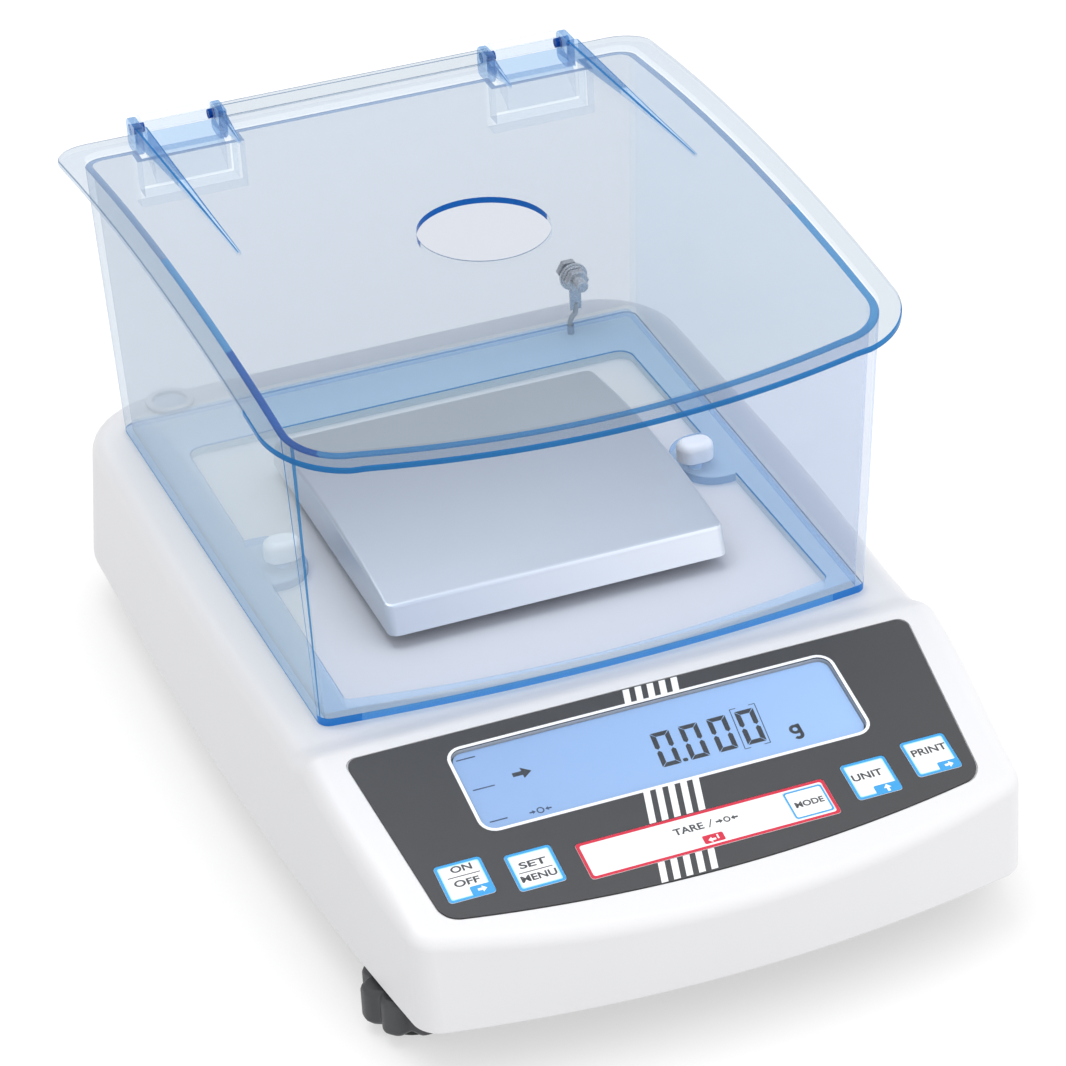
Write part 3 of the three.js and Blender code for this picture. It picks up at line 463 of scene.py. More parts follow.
def half_outline(
    rear, front, bow, rear_radius, front_radius, side, stops,
    corner_steps=rear_arc_steps, bow_steps=20, front_steps=0,
):
    front_half = side(front)

    def bow_at(x):
        return front - bow * (1 - (x / front_half) ** 2)

    rear_point = Vector((side(rear), rear))
    front_point = Vector((front_half, front))
    bow_near = front_half * (1 - 1 / bow_steps)
    first = Vector((side(stops[0]), stops[0]))
    last = Vector((side(stops[-1]), stops[-1]))
    points = corner_arc(Vector((0, rear)), rear_point, first, rear_radius, corner_steps)
    points += [Vector((side(y), y)) for y in stops]
    bow_point = Vector((bow_near, bow_at(bow_near)))
    points += corner_arc(last, front_point, bow_point, front_radius, front_steps or corner_steps)
    start = points[-1].x
    for i in range(1, bow_steps):
        x = start * (1 - i / (bow_steps - 0.5))
        points.append(Vector((x, bow_at(x))))
    return points


def full_loop(half, height, share_at=None):
    """Both halves of an outline, at a height or at the height for each y; share_at narrows it."""
    right = []
    for p in half:
        z = height(p.y) if callable(height) else height
        right.append(Vector((p.x * (share_at(p.y) if share_at else 1), p.y, z)))
    return right + [Vector((-p.x, p.y, p.z)) for p in reversed(right)]


def loft(loops, closed=False, finishes=None):
    """Loops joined by a skin, with caps that run straight across where it isn't closed."""
    count = len(loops[0])
    rows = len(loops) if closed else len(loops) - 1
    faces = skin(loops, rows)
    tags = [finish for finish in finishes or [0] * rows for _ in range(count)]
    if not closed:
        last = (len(loops) - 1) * count
        for i in range(count // 2 - 1):
            faces.append([count - 1 - i, count - 2 - i, i + 1, i])
            faces.append([last + i, last + i + 1, last + count - 2 - i, last + count - 1 - i])
            tags += [0, 0]
    return Form().add([p for loop in loops for p in loop], faces, tags)


def steps_between(start, end, count):
    return [start + (end - start) * i / (count - 1) for i in range(count)]


def smooth(value, low, high):
    share = min(1, max(0, (value - low) / (high - low)))
    return share * share * (3 - 2 * share)


# Heights over the table

front_y = -housing_depth / 2
rear_y = housing_depth / 2
panel_top_y = front_y + panel_run
panel_top_z = deck_height + crest_rise
ramp_end = panel_top_y + crest_setback
ramp_start = ramp_end + crest_ramp
panel = Matrix.Translation((0, panel_top_y, panel_top_z)) @ Matrix.Rotation(panel_slope, 4, "X")


def deck_at(y):
    if y >= ramp_start:
        return deck_height
    if y <= ramp_end:
        return panel_top_z + (y - panel_top_y) * math.tan(panel_slope)
    ramp_top = panel_top_z + crest_setback * math.tan(panel_slope)
    return deck_height + (ramp_top - deck_height) * smooth(-y, -ramp_start, -ramp_end)


def rim_at(y):
    return rim_top - rim_drop * ((y - rim_crest_y) / rim_drop_reach) ** 2


def lid_under_at(y):
    return rim_at(y) + lid_gap


def lid_top_at(y):
    return lid_under_at(y) + lid_thickness


# Finishes


looks = {}


def feed(tree, socket, value):
    """Sets a socket to a value, or links a source to it; a colour comes without its alpha."""
    if isinstance(value, bpy.types.NodeSocket):
        tree.links.new(value, socket)
    else:
        socket.default_value = (*value, 1) if socket.type == "RGBA" else value


def add_node(tree, kind, inputs, **settings):
    node = tree.nodes.new("ShaderNode" + kind)
    for name, value in settings.items():
        setattr(node, name, value)
    for key, value in inputs.items():
        feed(tree, node.inputs[key], value)
    return node


def new_surface(name, base, roughness, metallic=0.0, specular=0.5):
    looks[name] = bpy.data.materials.new(name)
    looks[name].use_nodes = True
    tree = looks[name].node_tree
    shader = tree.nodes["Principled BSDF"]
    feed(tree, shader.inputs["Base Color"], base)
    values = {"Roughness": roughness, "Metallic": metallic, "Specular IOR Level": specular}
    for socket, value in values.items():
        shader.inputs[socket].default_value = value
    return tree, shader


def noise_at(tree, scale, detail=2.0, stretch=(1, 1, 1)):
    place = add_node(tree, "TexCoord", {})
    spread = add_node(tree, "Mapping", {"Vector": place.outputs["Object"], "Scale": stretch})
    noise = add_node(tree, "TexNoise", {"Vector": spread.outputs["Vector"], "Scale": scale, "Detail": detail})
    return noise.outputs["Fac"]


def add_bump(tree, shader, noise, strength, distance):
    bump = add_node(tree, "Bump", {"Height": noise, "Strength": strength, "Distance": distance * METRE})
    feed(tree, shader.inputs["Normal"], bump.outputs["Normal"])


def vary(tree, shader, noise, low, high):
    """Lets the roughness go from low to high with the noise."""
    limits = {"From Min": 0.3, "From Max": 0.7, "To Min": low, "To Max": high}
    spread = add_node(tree, "MapRange", {"Value": noise, **limits})
    feed(tree, shader.inputs["Roughness"], spread.outputs["Result"])


def mixed(tree, share, first, second):
    return add_node(tree, "Mix", {0: share, 6: first, 7: second}, data_type="RGBA").outputs[2]


def plastic(name, base, roughness, shift=0.02, grain=0.15):
    tree, shader = new_surface(name, base, roughness)
    darker = [max(0, c - shift) for c in base]
    feed(tree, shader.inputs["Base Color"], mixed(tree, noise_at(tree, 25, 3), darker, base))
    fine = noise_at(tree, 2200)
    add_bump(tree, shader, fine, grain, 0.02)
    vary(tree, shader, fine, roughness - 0.05, roughness + 0.05)
    return shader


def metal(name, base, roughness, stretch=(1, 1, 1), scale=900, strength=0.2, distance=0.01, metallic=1.0):
    tree, shader = new_surface(name, base, roughness, metallic)
    lines = noise_at(tree, scale, 4, stretch)
    add_bump(tree, shader, lines, strength, distance)
    vary(tree, shader, lines, roughness - 0.07, roughness + 0.07)
    darker = [c * 0.94 for c in base]
    feed(tree, shader.inputs["Base Color"], mixed(tree, noise_at(tree, 18), darker, base))


def calculate(tree, operation, source, value):
    return add_node(tree, "Math", {0: source, 1: value}, operation=operation).outputs[0]


clear_roughness = 0.04
tint_power = 9.0
mirror_power = 5.0
mirror_most = 0.9


def clear(name, through, edge_through, body_colour, cover, specular=0.5):
    """A thin clear plastic skin: it mirrors more and lets through a deeper blue where it is seen edge on."""
    tree, shader = new_surface(name, body_colour, clear_roughness, 0.0, specular)
    facing = add_node(tree, "LayerWeight", {"Blend": 0.5}).outputs["Facing"]
    tint = mixed(tree, calculate(tree, "POWER", facing, tint_power), through, edge_through)
    see = add_node(tree, "BsdfTransparent", {"Color": tint})
    mirror = calculate(tree, "MULTIPLY", calculate(tree, "POWER", facing, mirror_power), mirror_most)
    mirror = calculate(tree, "ADD", mirror, cover)
    mix = add_node(tree, "MixShader", {0: mirror, 1: see.outputs[0], 2: shader.outputs[0]})
    feed(tree, tree.nodes["Material Output"].inputs["Surface"], mix.outputs[0])
    vary(tree, shader, noise_at(tree, 60), clear_roughness, clear_roughness + 0.05)


plastic("white_plastic", (0.69, 0.69, 0.705), 0.42)
plastic("dark_plastic", (0.05, 0.052, 0.056), 0.5, 0.01, 0.3)
plastic("black_rubber", (0.022, 0.023, 0.025), 0.8, 0.006, 0.4)
plastic("key_white", (0.86, 0.87, 0.89), 0.3, 0.01, 0.05)
plastic("foil_grey", (0.041, 0.042, 0.046), 0.5, 0.005, 0.1)
plastic("print_white", (0.84, 0.85, 0.86), 0.4, 0.01, 0.05)
plastic("print_dark", (0.055, 0.057, 0.06), 0.5, 0.005, 0.05)
plastic("print_blue", (0.03, 0.31, 0.66), 0.4, 0.005, 0.05)
plastic("print_cyan", (0.35, 0.70, 0.86), 0.4, 0.01, 0.05)
plastic("print_red", (0.58, 0.012, 0.045), 0.4, 0.01, 0.05)
plastic("segment_ink", (0.006, 0.008, 0.014), 0.4, 0.002, 0.02)
plastic("tick_ink", (0.02, 0.05, 0.12), 0.4, 0.004, 0.02)
metal("pan_steel", (0.60, 0.635, 0.68), 0.38, (1, 22, 6), 260, 0.25, 0.006, 0.8)
metal("machined_steel", (0.58, 0.59, 0.62), 0.25)
metal("cast_metal", (0.52, 0.53, 0.55), 0.5, scale=400, strength=0.4, distance=0.05)
plastic("circuit_board", (0.015, 0.14, 0.05), 0.35, 0.01, 0.05)
plastic("grey_wire", (0.32, 0.35, 0.39), 0.45, 0.02, 0.1)
# The shield's own pale blue plastic in many copies whose tints also carry painted light and shade: paler in
# front, darker at the rear, on the right, in the lid's strip and in the pockets, bluer in the flange and
# bands.
pale_edge = (0.30, 0.55, 0.84)
grey_edge = (0.30, 0.50, 0.78)
grey_body = (0.66, 0.72, 0.80)
clear("clear_wall", (0.918, 0.938, 0.940), pale_edge, (0.70, 0.76, 0.82), 0.02)
clear("clear_front", (0.95, 0.962, 0.998), pale_edge, (0.74, 0.80, 0.92), 0.03)
clear("clear_faint", (0.955, 0.97, 0.985), (0.70, 0.82, 0.93), (0.85, 0.88, 0.92), 0.0)
clear("clear_back", (0.815, 0.83, 0.866), grey_edge, grey_body, 0.02)
clear("clear_lid", (0.915, 0.938, 0.950), pale_edge, (0.70, 0.76, 0.84), 0.02)
clear("clear_right", (0.845, 0.873, 0.915), grey_edge, grey_body, 0.02)
clear("clear_painted_dark", (0.70, 0.73, 0.79), grey_edge, grey_body, 0.04)
clear("clear_strip", (0.825, 0.855, 0.885), grey_edge, grey_body, 0.02)
clear("clear_pin", (0.93, 0.95, 0.97), pale_edge, (0.80, 0.86, 0.92), 0.02)
clear("clear_flange", (0.84, 0.93, 1.0), (0.30, 0.55, 0.86), (0.56, 0.76, 1.0), 0.24)
clear("clear_band", (0.55, 0.69, 0.85), (0.20, 0.45, 0.80), (0.30, 0.46, 0.70), 0.12)
# Painted light: deep to pale blue lines where the clear plastic carries light to its edges, its rim and its
# base.
clear("edge_deep", (0.015, 0.14, 0.46), (0.01, 0.10, 0.38), (0.008, 0.10, 0.42), 0.45, 0.1)
clear("edge_lid", (0.04, 0.23, 0.54), (0.03, 0.17, 0.45), (0.02, 0.17, 0.42), 0.55, 0.2)
clear("edge_mid", (0.10, 0.36, 0.68), (0.07, 0.25, 0.58), (0.06, 0.27, 0.54), 0.45, 0.3)
clear("edge_soft", (0.28, 0.42, 0.64), (0.18, 0.30, 0.54), (0.16, 0.27, 0.46), 0.35)
clear("edge_thin", (0.34, 0.44, 0.56), (0.25, 0.34, 0.48), (0.26, 0.34, 0.46), 0.35)
clear("base_line", (0.18, 0.50, 0.88), (0.12, 0.38, 0.78), (0.12, 0.38, 0.76), 0.3)
clear("base_block", (0.04, 0.30, 0.76), (0.03, 0.20, 0.62), (0.02, 0.22, 0.60), 0.5)
clear("clear_pane", (0.97, 0.98, 0.99), (0.7, 0.8, 0.9), (0.8, 0.85, 0.9), 0.02)


def grade_across(tree, target, half_width, left, right):
    """Leads a colour to the target that goes from left to right across a width about the middle."""
    place = add_node(tree, "TexCoord", {})
    split = add_node(tree, "SeparateXYZ", {0: place.outputs["Object"]})
    limits = {"From Min": -half_width * METRE, "From Max": half_width * METRE}
    share = add_node(tree, "MapRange", {"Value": split.outputs["X"], **limits})
    feed(tree, target, mixed(tree, share.outputs["Result"], left, right))


def display_blue():
    """The lit display: pale blue, brighter to the right."""
    tree, shader = new_surface("display_blue", (0.33, 0.53, 0.85), 0.35)
    for name in ("Base Color", "Emission Color"):
        grade_across(tree, shader.inputs[name], window_width / 2, (0.24, 0.37, 0.60), (0.305, 0.465, 0.73))
    shader.inputs["Emission Strength"].default_value = 0.15


def brushed_front_painted_light():
    """The pan's front edge: brushed, with painted light: a brighter copy of the pan's steel, brighter still
    to the right.
    """
    tree, shader = new_surface("pan_front_painted_light", (0.8, 0.8, 0.8), 0.38, 0.6)
    add_bump(tree, shader, noise_at(tree, 260, 4, (1, 22, 6)), 0.25, 0.006)
    grade_across(tree, shader.inputs["Base Color"], pan_half_width, (0.54, 0.58, 0.63), (0.88, 0.88, 0.84))


display_blue()
brushed_front_painted_light()


# Housing


def shoulder_at(y):
    return front_shoulder + (side_shoulder - front_shoulder) * smooth(y, shoulder_front_y, shoulder_side_y)


def housing_side(y):
    behind = max(0, (front_y + nose_taper_depth - y) / (nose_taper_depth - (front_bow + front_corner / 2)))
    return housing_width / 2 - nose_taper * behind**nose_taper_power


def draft_share(z, y):
    full = smooth(y, front_y + draft_from_front, front_y + draft_full_from_front)
    return 1 - full * side_draft * (z - underside) / (deck_height - underside) / (housing_width / 2)


def housing_outline(inset_at, bow=front_bow, back=0):
    front_inset = inset_at(front_y)
    rear_inset = inset_at(rear_y)
    stops = steps_between(rear_y - rear_corner - 6, ramp_start + 2, 16)
    stops += steps_between(ramp_start, ramp_end, 9)
    stops += steps_between(ramp_end - 3, front_y + front_bow + front_corner + 2, 14)
    front_radius = max(front_corner - front_inset, least_corner)
    return half_outline(
        rear_y - rear_inset, front_y + back + bow + front_inset, bow,
        rear_corner - rear_inset, front_radius, lambda y: housing_side(y) - inset_at(y), stops,
    )


def housing_body(inset, bottom, lower, steps):
    def foot_loop(extra, z):
        outline = housing_outline(lambda y: inset + extra, nose_foot_bow, nose_foot_back)
        return full_loop(outline, z, lambda y: draft_share(z, y))

    loops = [foot_loop(foot_round * (1 - math.sin(t)), bottom + foot_round * (1 - math.cos(t)))
             for t in steps_between(0, QUARTER, 4)]

    def top_loop(turn, hold=0):
        def edge(y):
            return max(shoulder_at(y) - inset, least_corner)

        outline = housing_outline(lambda y: inset + edge(y) * (1 - math.cos(turn)) + hold)
        return full_loop(
            outline,
            lambda y: deck_at(y) - lower - edge(y) * (1 - math.sin(turn)),
            lambda y: draft_share(deck_height, y),
        )

    loops += [top_loop(turn) for turn in steps_between(0, QUARTER, steps)]
    loops.append(top_loop(QUARTER, 0.8))
    return loft(loops)


def foil_outline(margin):
    def side(y):
        return foil_half_width + margin - foil_narrowing / 2 * -y / foil_side

    return full_loop(half_outline(
        margin, -foil_side - margin, foil_bow, foil_top_corner, foil_bottom_corner, side, [-foil_side / 2],
    ), 0)


window_y = -window_top - window_height / 2
key_places = {
    "on_off": (-outer_key_x, -outer_key_down, *key_size),
    "menu": (-inner_key_x, -inner_key_down, *key_size),
    "unit": (inner_key_x, -inner_key_down, *key_size),
    "print": (outer_key_x, -outer_key_down, *key_size),
    "tare": (0, -tare_down, tare_width, tare_height),
    "mode": (mode_x, -tare_down, mode_width, mode_height),
}
open_keys = ["on_off", "menu", "tare", "unit", "print"]


def window_outline(margin, corner):
    return rounded_box(0, window_y, window_width + 2 * margin, window_height + 2 * margin, corner)


def key_outline(name, margin):
    x, y, width, height = key_places[name]
    return rounded_box(x, y, width + 2 * margin, height + 2 * margin, key_corner)


def panel_holes(around_window, around_keys, low):
    """Cutters for the display window and the keys that sit in the foil."""
    holes = raised(window_outline(around_window, window_corner), low, 3)
    for name in open_keys:
        holes.join(raised(key_outline(name, around_keys), low, 3))
    return holes.moved(panel)


def make_housing():
    shell = housing_body(0, underside, 0, 9).piece("housing_shell", "white_plastic")
    inner = housing_body(housing_wall, underside - 4, housing_wall, 3)
    recess = raised(foil_outline(foil_margin), -foil_recess, 4).moved(panel)
    holes = panel_holes(deep_gap, deep_gap, -8)
    holes.join(post(spindle_hole, 0, pan_y, *deck_cut))
    for side in (-1, 1):
        holes.join(post(latch_hole, side * latch_x, latch_y, *deck_cut))
    holes.join(post(level_hole, level_x, level_y, *deck_cut))
    holes.join(post(lead_hole, lead_x, shield_rear_y - 5, *deck_cut))
    holes.join(bar_y(jack_radius + deep_gap, jack_x, rear_y - 8, rear_y + 4, socket_z))
    holes.join(port_block(port_half_width + deep_gap, port_half_height + deep_gap, rear_y - 8, rear_y + 4))
    cut(shell, inner, recess, holes)
    dress(shell, "housing", "white_plastic", "upper_housing", angle=35)


# Front foil, display and keys


def printed(outline, z):
    return raised(outline, z, z + print_thickness)


def printed_ring(outer, inner, x, y, z):
    return ring(circle(outer, x, y), circle(inner, x, y), z, z + print_thickness)


def bars(top, bottom):
    """Five equal white bars between two distances down the panel, on the leaning line of the print."""
    form = Form()
    for i in range(-2, 3):
        corners = []
        for down, way in ((bottom, -1), (bottom, 1), (top, 1), (top, -1)):
            corners.append((bar_x0 - bar_lean * down + i * bar_pitch + way * bar_width / 2, -down))
        form.join(printed(corners, foil_top))
    return form


def make_foil():
    foil = raised(foil_outline(0), foil_bottom, foil_top).moved(panel).piece("front_foil", "foil_grey")
    cut(foil, panel_holes(window_gap, key_gap, -3))
    dress(foil, "housing", "front_foil", "keypad_overlay")
    outer = window_outline(window_border, window_corner + window_border)
    inner = window_outline(window_gap, window_corner)
    border = ring(outer, inner, foil_top, foil_top + print_thickness)
    border.join(bars(0.3, window_top - window_border))
    border.join(bars(window_top + window_height + window_border, tare_down - tare_height / 2 - 0.2))
    border.join(bars(tare_down + tare_height / 2 + 0.2, foil_side + foil_bow - 0.6))
    dress(border.moved(panel).piece("foil_prints", "print_white"), "housing", "front_foil")


def make_display():
    top = foil_top + 0.02
    pane = raised(window_outline(0, window_corner), top - window_thickness, top).moved(panel)
    pane = rounded(pane.piece("display_cover", "clear_pane"), 0.15)
    dress(pane, "housing", "display_pane", "display_window")
    face = top - window_thickness - display_drop
    outline = window_outline(-display_margin, window_corner - display_margin)
    lcd = raised(outline, face - display_thickness, face)
    dress(lcd.moved(panel).piece("display_face", "display_blue"), "housing", "display_pane", "lcd_panel")
    make_segments(face)


def segment_digit(x, y, width, height, slant, thick, z):
    """A zero of six segments, leaning to the right."""
    half, gap = thick / 2, 0.18
    left, right, low, high = -width / 2, width / 2, -height / 2, height / 2
    inner_left, inner_right, inner_low, inner_high = left + thick, right - thick, low + thick, high - thick
    outlines = [
        [(left + gap, high), (right - gap, high), (inner_right, inner_high), (inner_left, inner_high)],
        [(left + gap, low), (inner_left, inner_low), (inner_right, inner_low), (right - gap, low)],
    ]
    for side in (left, right):
        way = 1 if side == left else -1
        for end, way_y in ((high, 1), (low, -1)):
            outlines.append([
                (side, end - way_y * gap), (side + way * thick, end - way_y * (thick + gap)),
                (side + way * thick, way_y * (half + gap)), (side + way * half, way_y * gap),
                (side, way_y * (half + gap)),
            ])
    form = Form()
    for outline in outlines:
        form.join(printed([(x + px + slant * py, y + py) for px, py in outline], z))
    return form


def line_print(x0, y0, x1, y1, width, z):
    """A thin straight printed line between two points."""
    start, end = Vector((x0, y0)), Vector((x1, y1))
    across = (end - start).normalized().orthogonal() * (width / 2)
    return printed([start - across, end - across, end + across, start + across], z)


def arrow_print(x, y, length, height, z, way=1):
    """A short thick arrow that points right, or left with way -1."""
    outline = [
        (-0.5, 0.18), (0.0, 0.18), (0.0, 0.5), (0.5, 0), (0.0, -0.5), (0.0, -0.18), (-0.5, -0.18),
    ]
    return printed([(x + way * px * length, y + py * height) for px, py in outline], z)


def letter_g(x, y, z):
    form = printed_ring(1.8, 0.75, x, y, z)
    form.join(block(x + 0.72, y - 2.4, z, x + 1.85, y + 1.85, z + print_thickness))
    outer, inner = [arc(x + 0.05, y - 2.2, radius, 0, -2.5, 14) for radius in (1.8, 0.68)]
    return form.join(printed(outer + inner[::-1], z))


def make_segments(z):
    ink = Form()
    first_x, pitch, digit_y = 0.87, 8.87, -24.65
    height, width, slant, thick = 13.3, 5.9, 0.09, 1.55
    for i in range(4):
        ink.join(segment_digit(first_x + i * pitch, digit_y, width, height, slant, thick, z))
    ink.join(printed(rounded_box(4.65, -30.55, 1.5, 1.3, 0.5), z))
    ink.join(arrow_print(-41.6, -19.9, 5.8, 4.2, z))
    ink.join(letter_g(39.3, -30.0, z))
    dress(ink.moved(panel).piece("display_digits", "segment_ink"), "housing", "display_pane")
    thin = Form()
    for down, x0, x1 in ((9.5, -57.8, -52.0), (21.7, -57.2, -50.6), (34.5, -57.0, -51.6)):
        thin.join(line_print(x0, -down, x1, -down, 0.45, z))
    for foot, head, way in ((22.5, 24.3, 1), (30.5, 32.2, -1)):
        thin.join(line_print(foot, -32.4, head, -16.65, 0.28, z))
        thin.join(line_print(foot, -32.4, foot + way * 1.9, -32.4, 0.28, z))
        thin.join(line_print(head, -16.65, head + way * 1.9, -16.65, 0.28, z))
    thin.join(printed_ring(1.15, 0.75, -41.8, -34.9, z))
    thin.join(arrow_print(-44.2, -34.9, 1.9, 1.5, z))
    thin.join(arrow_print(-39.4, -34.9, 1.9, 1.5, z, -1))
    dress(thin.moved(panel).piece("display_marks", "tick_ink"), "housing", "display_pane")


def mesh_of(curve):
    """The mesh of a curve or of lettering, which is removed."""
    holder = bpy.data.objects.new("holder", curve)
    bpy.context.scene.collection.objects.link(holder)
    view = bpy.context.evaluated_depsgraph_get()
    mesh = bpy.data.meshes.new_from_object(holder.evaluated_get(view))
    bpy.data.objects.remove(holder)
    bpy.data.curves.remove(curve)
    return mesh


def form_of(curve):
    mesh = mesh_of(curve)
    form = Form().add([v.co for v in mesh.vertices], [list(p.vertices) for p in mesh.polygons])
    bpy.data.meshes.remove(mesh)
    return form


def word(text, left, right, down, height):
    """Plain lettering drawn out to a width and a height, centred that far down the panel."""
    words = bpy.data.curves.new(text, "FONT")
    words.body = text
    words.size = height * 1.4
    words.align_x = words.align_y = "CENTER"
    words.extrude = print_thickness / 2
    words.offset = 0.09
    form = form_of(words)
    low, high = [Vector([pick(p[axis] for p in form.points) for axis in (0, 1)]) for pick in (min, max)]
    for p in form.points:
        p.x = left + (right - left) * (p.x - low.x) / (high.x - low.x)
        p.y = height * ((p.y - low.y) / (high.y - low.y) - 0.5) - down
        p.z += foil_top + print_thickness / 2
    return form


def key_cap(name, bands, inner_corner):
    """A key whose top has coloured bands from its edge inwards: (width, finish), the last to the middle."""
    x, y, width, height = key_places[name]
    bottom = foil_top - key_thickness
    rows = [(edge_break, bottom), (0, bottom + edge_break), (0, foil_top - top_break), (top_break, foil_top)]
    tags = [0, 0, 0]
    inset = top_break
    for band, finish in bands[:-1]:
        inset += band
        rows.append((inset, foil_top))
        tags.append(finish)
    loops = []
    for gone, z in rows:
        corner = max(key_corner - gone, inner_corner)
        loops.append(at_height(rounded_box(x, y, width - 2 * gone, height - 2 * gone, corner), z))
    finishes = [finish for finish in tags for _ in loops[0]]
    return stack(loops, finishes + [0, bands[-1][1]])


def make_keys():
    bands = {"tare": [(1.0, 3), (0, 0)], "mode": [(0.15, 0), (0.6, 1), (0, 0)]}
    stem_top = foil_top - key_thickness - 0.01
    for name, (x, y, *_) in key_places.items():
        is_tare = name == "tare"
        cap = key_cap(name, bands.get(name, [(0.85, 1), (0.35, 2), (0, 0)]), 0.8 if is_tare else 0.6)
        cap.join(post(key_stem, tare_stem_x if is_tare else x, y, -housing_wall, stem_top))
        cap = cap.moved(panel).piece("cap_" + name, "key_white", "print_blue", "print_cyan", "print_red")
        if is_tare:
            cut(cap, raised(key_outline("mode", key_gap), -6, 3).moved(panel))
        dress(cap, name + "_key", "key_white", "key_" + name)


def make_legends():
    z = foil_top
    tare = word("TARE", -10.1, -1.0, 56.4, 2.5)
    tare.join(line_print(0.4, -57.8, 1.9, -55.0, 0.35, z))
    tare.join(arrow_print(3.9, -56.5, 2.2, 1.7, z)).join(arrow_print(8.5, -56.5, 2.2, 1.7, z, -1))
    tare.join(printed_ring(1.05, 0.62, 6.2, -56.5, z))
    words = {
        "on_off": word("ON", -74.2, -68.0, 48.8, 2.4).join(word("OFF", -75.0, -67.5, 54.0, 2.4)),
        "menu": word("SET", -55.6, -47.5, 53.6, 2.4).join(word("MENU", -56.8, -46.2, 58.5, 2.4)),
        "unit": word("UNIT", 46.2, 55.6, 54.3, 2.6),
        "print": word("PRINT", 66.5, 77.4, 51.2, 2.6),
        "mode": word("MODE", 26.6, 35.4, 58.3, 2.2),
        "tare": tare,
    }
    words["on_off"].join(line_print(-76.0, -51.5, -66.4, -51.5, 0.32, z))
    words["menu"].join(line_print(-56.6, -56.2, -46.6, -56.2, 0.32, z))
    for name, form in words.items():
        dress(form.moved(panel).piece("legend_" + name, "print_dark"), name + "_key", "key_white")
    above = z + print_thickness
    tags = {
        "on_off": (-71.4, -64.7, 56.1, 59.5, 0), "unit": (50.6, 58.4, 58.9, 62.3, 1),
        "print": (71.8, 78.4, 56.6, 59.9, 0),
    }
    for name, (left, right, top, bottom, way) in tags.items():
        x, y = (left + right) / 2, -(top + bottom) / 2
        turn = Matrix.Translation((x, y, 0)) @ Matrix.Rotation(QUARTER * way, 4, "Z")
        tag = printed(rounded_box(x, y, right - left, bottom - top, 0.6), z)
        make_tag(name, tag, arrow_print(0, 0, 2.7, 2.3, above).moved(turn), "print_blue")
    hook = arrow_print(-0.7, -62.2, 2.4, 2.0, above, -1)
    hook.join(block(1.0, -62.4, above, 1.5, -60.8, above + print_thickness))
    make_tag("tare", printed(rounded_box(-0.05, -61.8, 6.3, 3.1, 0.5), z), hook, "print_red")


def make_tag(key, tag, sign, colour):
    """A coloured tag on a key, with a white sign on it."""
    sign.finishes = [1] * len(sign.faces)
    dress(tag.join(sign).moved(panel).piece("tag_" + key, colour, "print_white"), key + "_key", "key_white")


# Draft shield

side_stops = (0.94, 0.85, 0.76, 0.67, 0.58, 0.49, 0.4, 0.34, 0.28, 0.22, 0.17, 0.14)
front_arc_steps = 30
rim_corner_y = -42
# The steps of the front left corner that carry upright blue lines of painted light
corner_lines = (3, 9, 10)


def shield_loop(shape, inset, height):
    """A shape's outline, smaller by inset, as a loop at a height or at the height for each y."""
    rear_half, front_half, rear, front, bow, rear_radius, front_radius = shape
    back, fore = rear - inset, front + inset

    def side(y):
        return front_half - inset + (rear_half - front_half) * (y - fore) / (back - fore)

    radii = [max(radius - inset, least_corner) for radius in (rear_radius, front_radius)]
    stops = [fore + (back - fore) * s for s in side_stops]
    return full_loop(half_outline(back, fore, bow, *radii, side, stops, front_steps=front_arc_steps), height)


# Each shape: half widths at the rear and the front, where those ends are, the bow, and the two corners
base_front_y = shield_front_y + base_bow
base = (base_rear_half, base_front_half, shield_rear_y, base_front_y, base_bow, base_corner, base_corner)
rim = (
    rim_rear_half, rim_front_half, shield_rear_y + rim_rear_lean, base_front_y - rim_front_lean,
    rim_bow, rim_rear_corner, rim_front_corner,
)
flange = (
    flange_half, flange_half, flange_rear_y, flange_front_y,
    flange_bow, flange_rear_corner, flange_front_corner,
)
lid_rear_y = shield_rear_y + lid_rear_reach
lid = (
    lid_rear_half, lid_front_half, lid_rear_y, base_front_y - lid_front_reach,
    lid_bow, lid_rear_corner, lid_front_corner,
)
chamfer = 0.35

# The shield's finishes: copies of its clear plastic that paint light and shade by where a face is; the edge,
# line and block finishes are painted blue edge light.
WALL, BACK, EDGE, MID, SOFT, THIN, FLANGE, BAND, LINE, BLOCK, FAINT, LAST, RIGHT, PAINTED_DARK = range(14)
edges = (
    "edge_deep", "edge_mid", "edge_soft", "edge_thin",
    "clear_flange", "clear_band", "base_line", "base_block", "clear_faint",
)
shield_surfaces = ("clear_wall", "clear_back", *edges, "clear_front", "clear_right", "clear_painted_dark")
lid_surfaces = ("clear_lid", "clear_strip", "edge_lid", *edges[1:], "edge_deep")
# How far back the lid's painted deep-blue edge line reaches, on the left and on the right
lid_blue_left, lid_blue_right = -38, -58


def wall_form():
    base_line_share, base_band_share = 0.007, 0.03

    def between(share, inset):
        low = shield_loop(base, inset, shield_base_z)
        high = shield_loop(rim, inset, lambda y: rim_at(y) - chamfer)
        return [a.lerp(b, share) for a, b in zip(low, high)]

    loops = [between(share, 0) for share in (0, base_line_share, base_band_share, 1)]
    loops += [shield_loop(rim, inset, rim_at) for inset in (chamfer, shield_wall - chamfer)]
    loops += [between(share, shield_wall) for share in (1, 0)]
    # Painted light: the base's line and band rows and the rim's three rows get blue edge finishes, which
    # wall_finish sorts by place.
    form = loft(loops, True, [LINE, BAND, WALL, EDGE, EDGE, EDGE, WALL, FLANGE])
    count = len(loops[0])
    arc_start = 2 + rear_arc_steps + len(side_stops)
    # Painted light: these steps of the front left corner get blue lines.
    for step in corner_lines:
        form.finishes[3 * count - 1 - arc_start - step] = MID
    return form


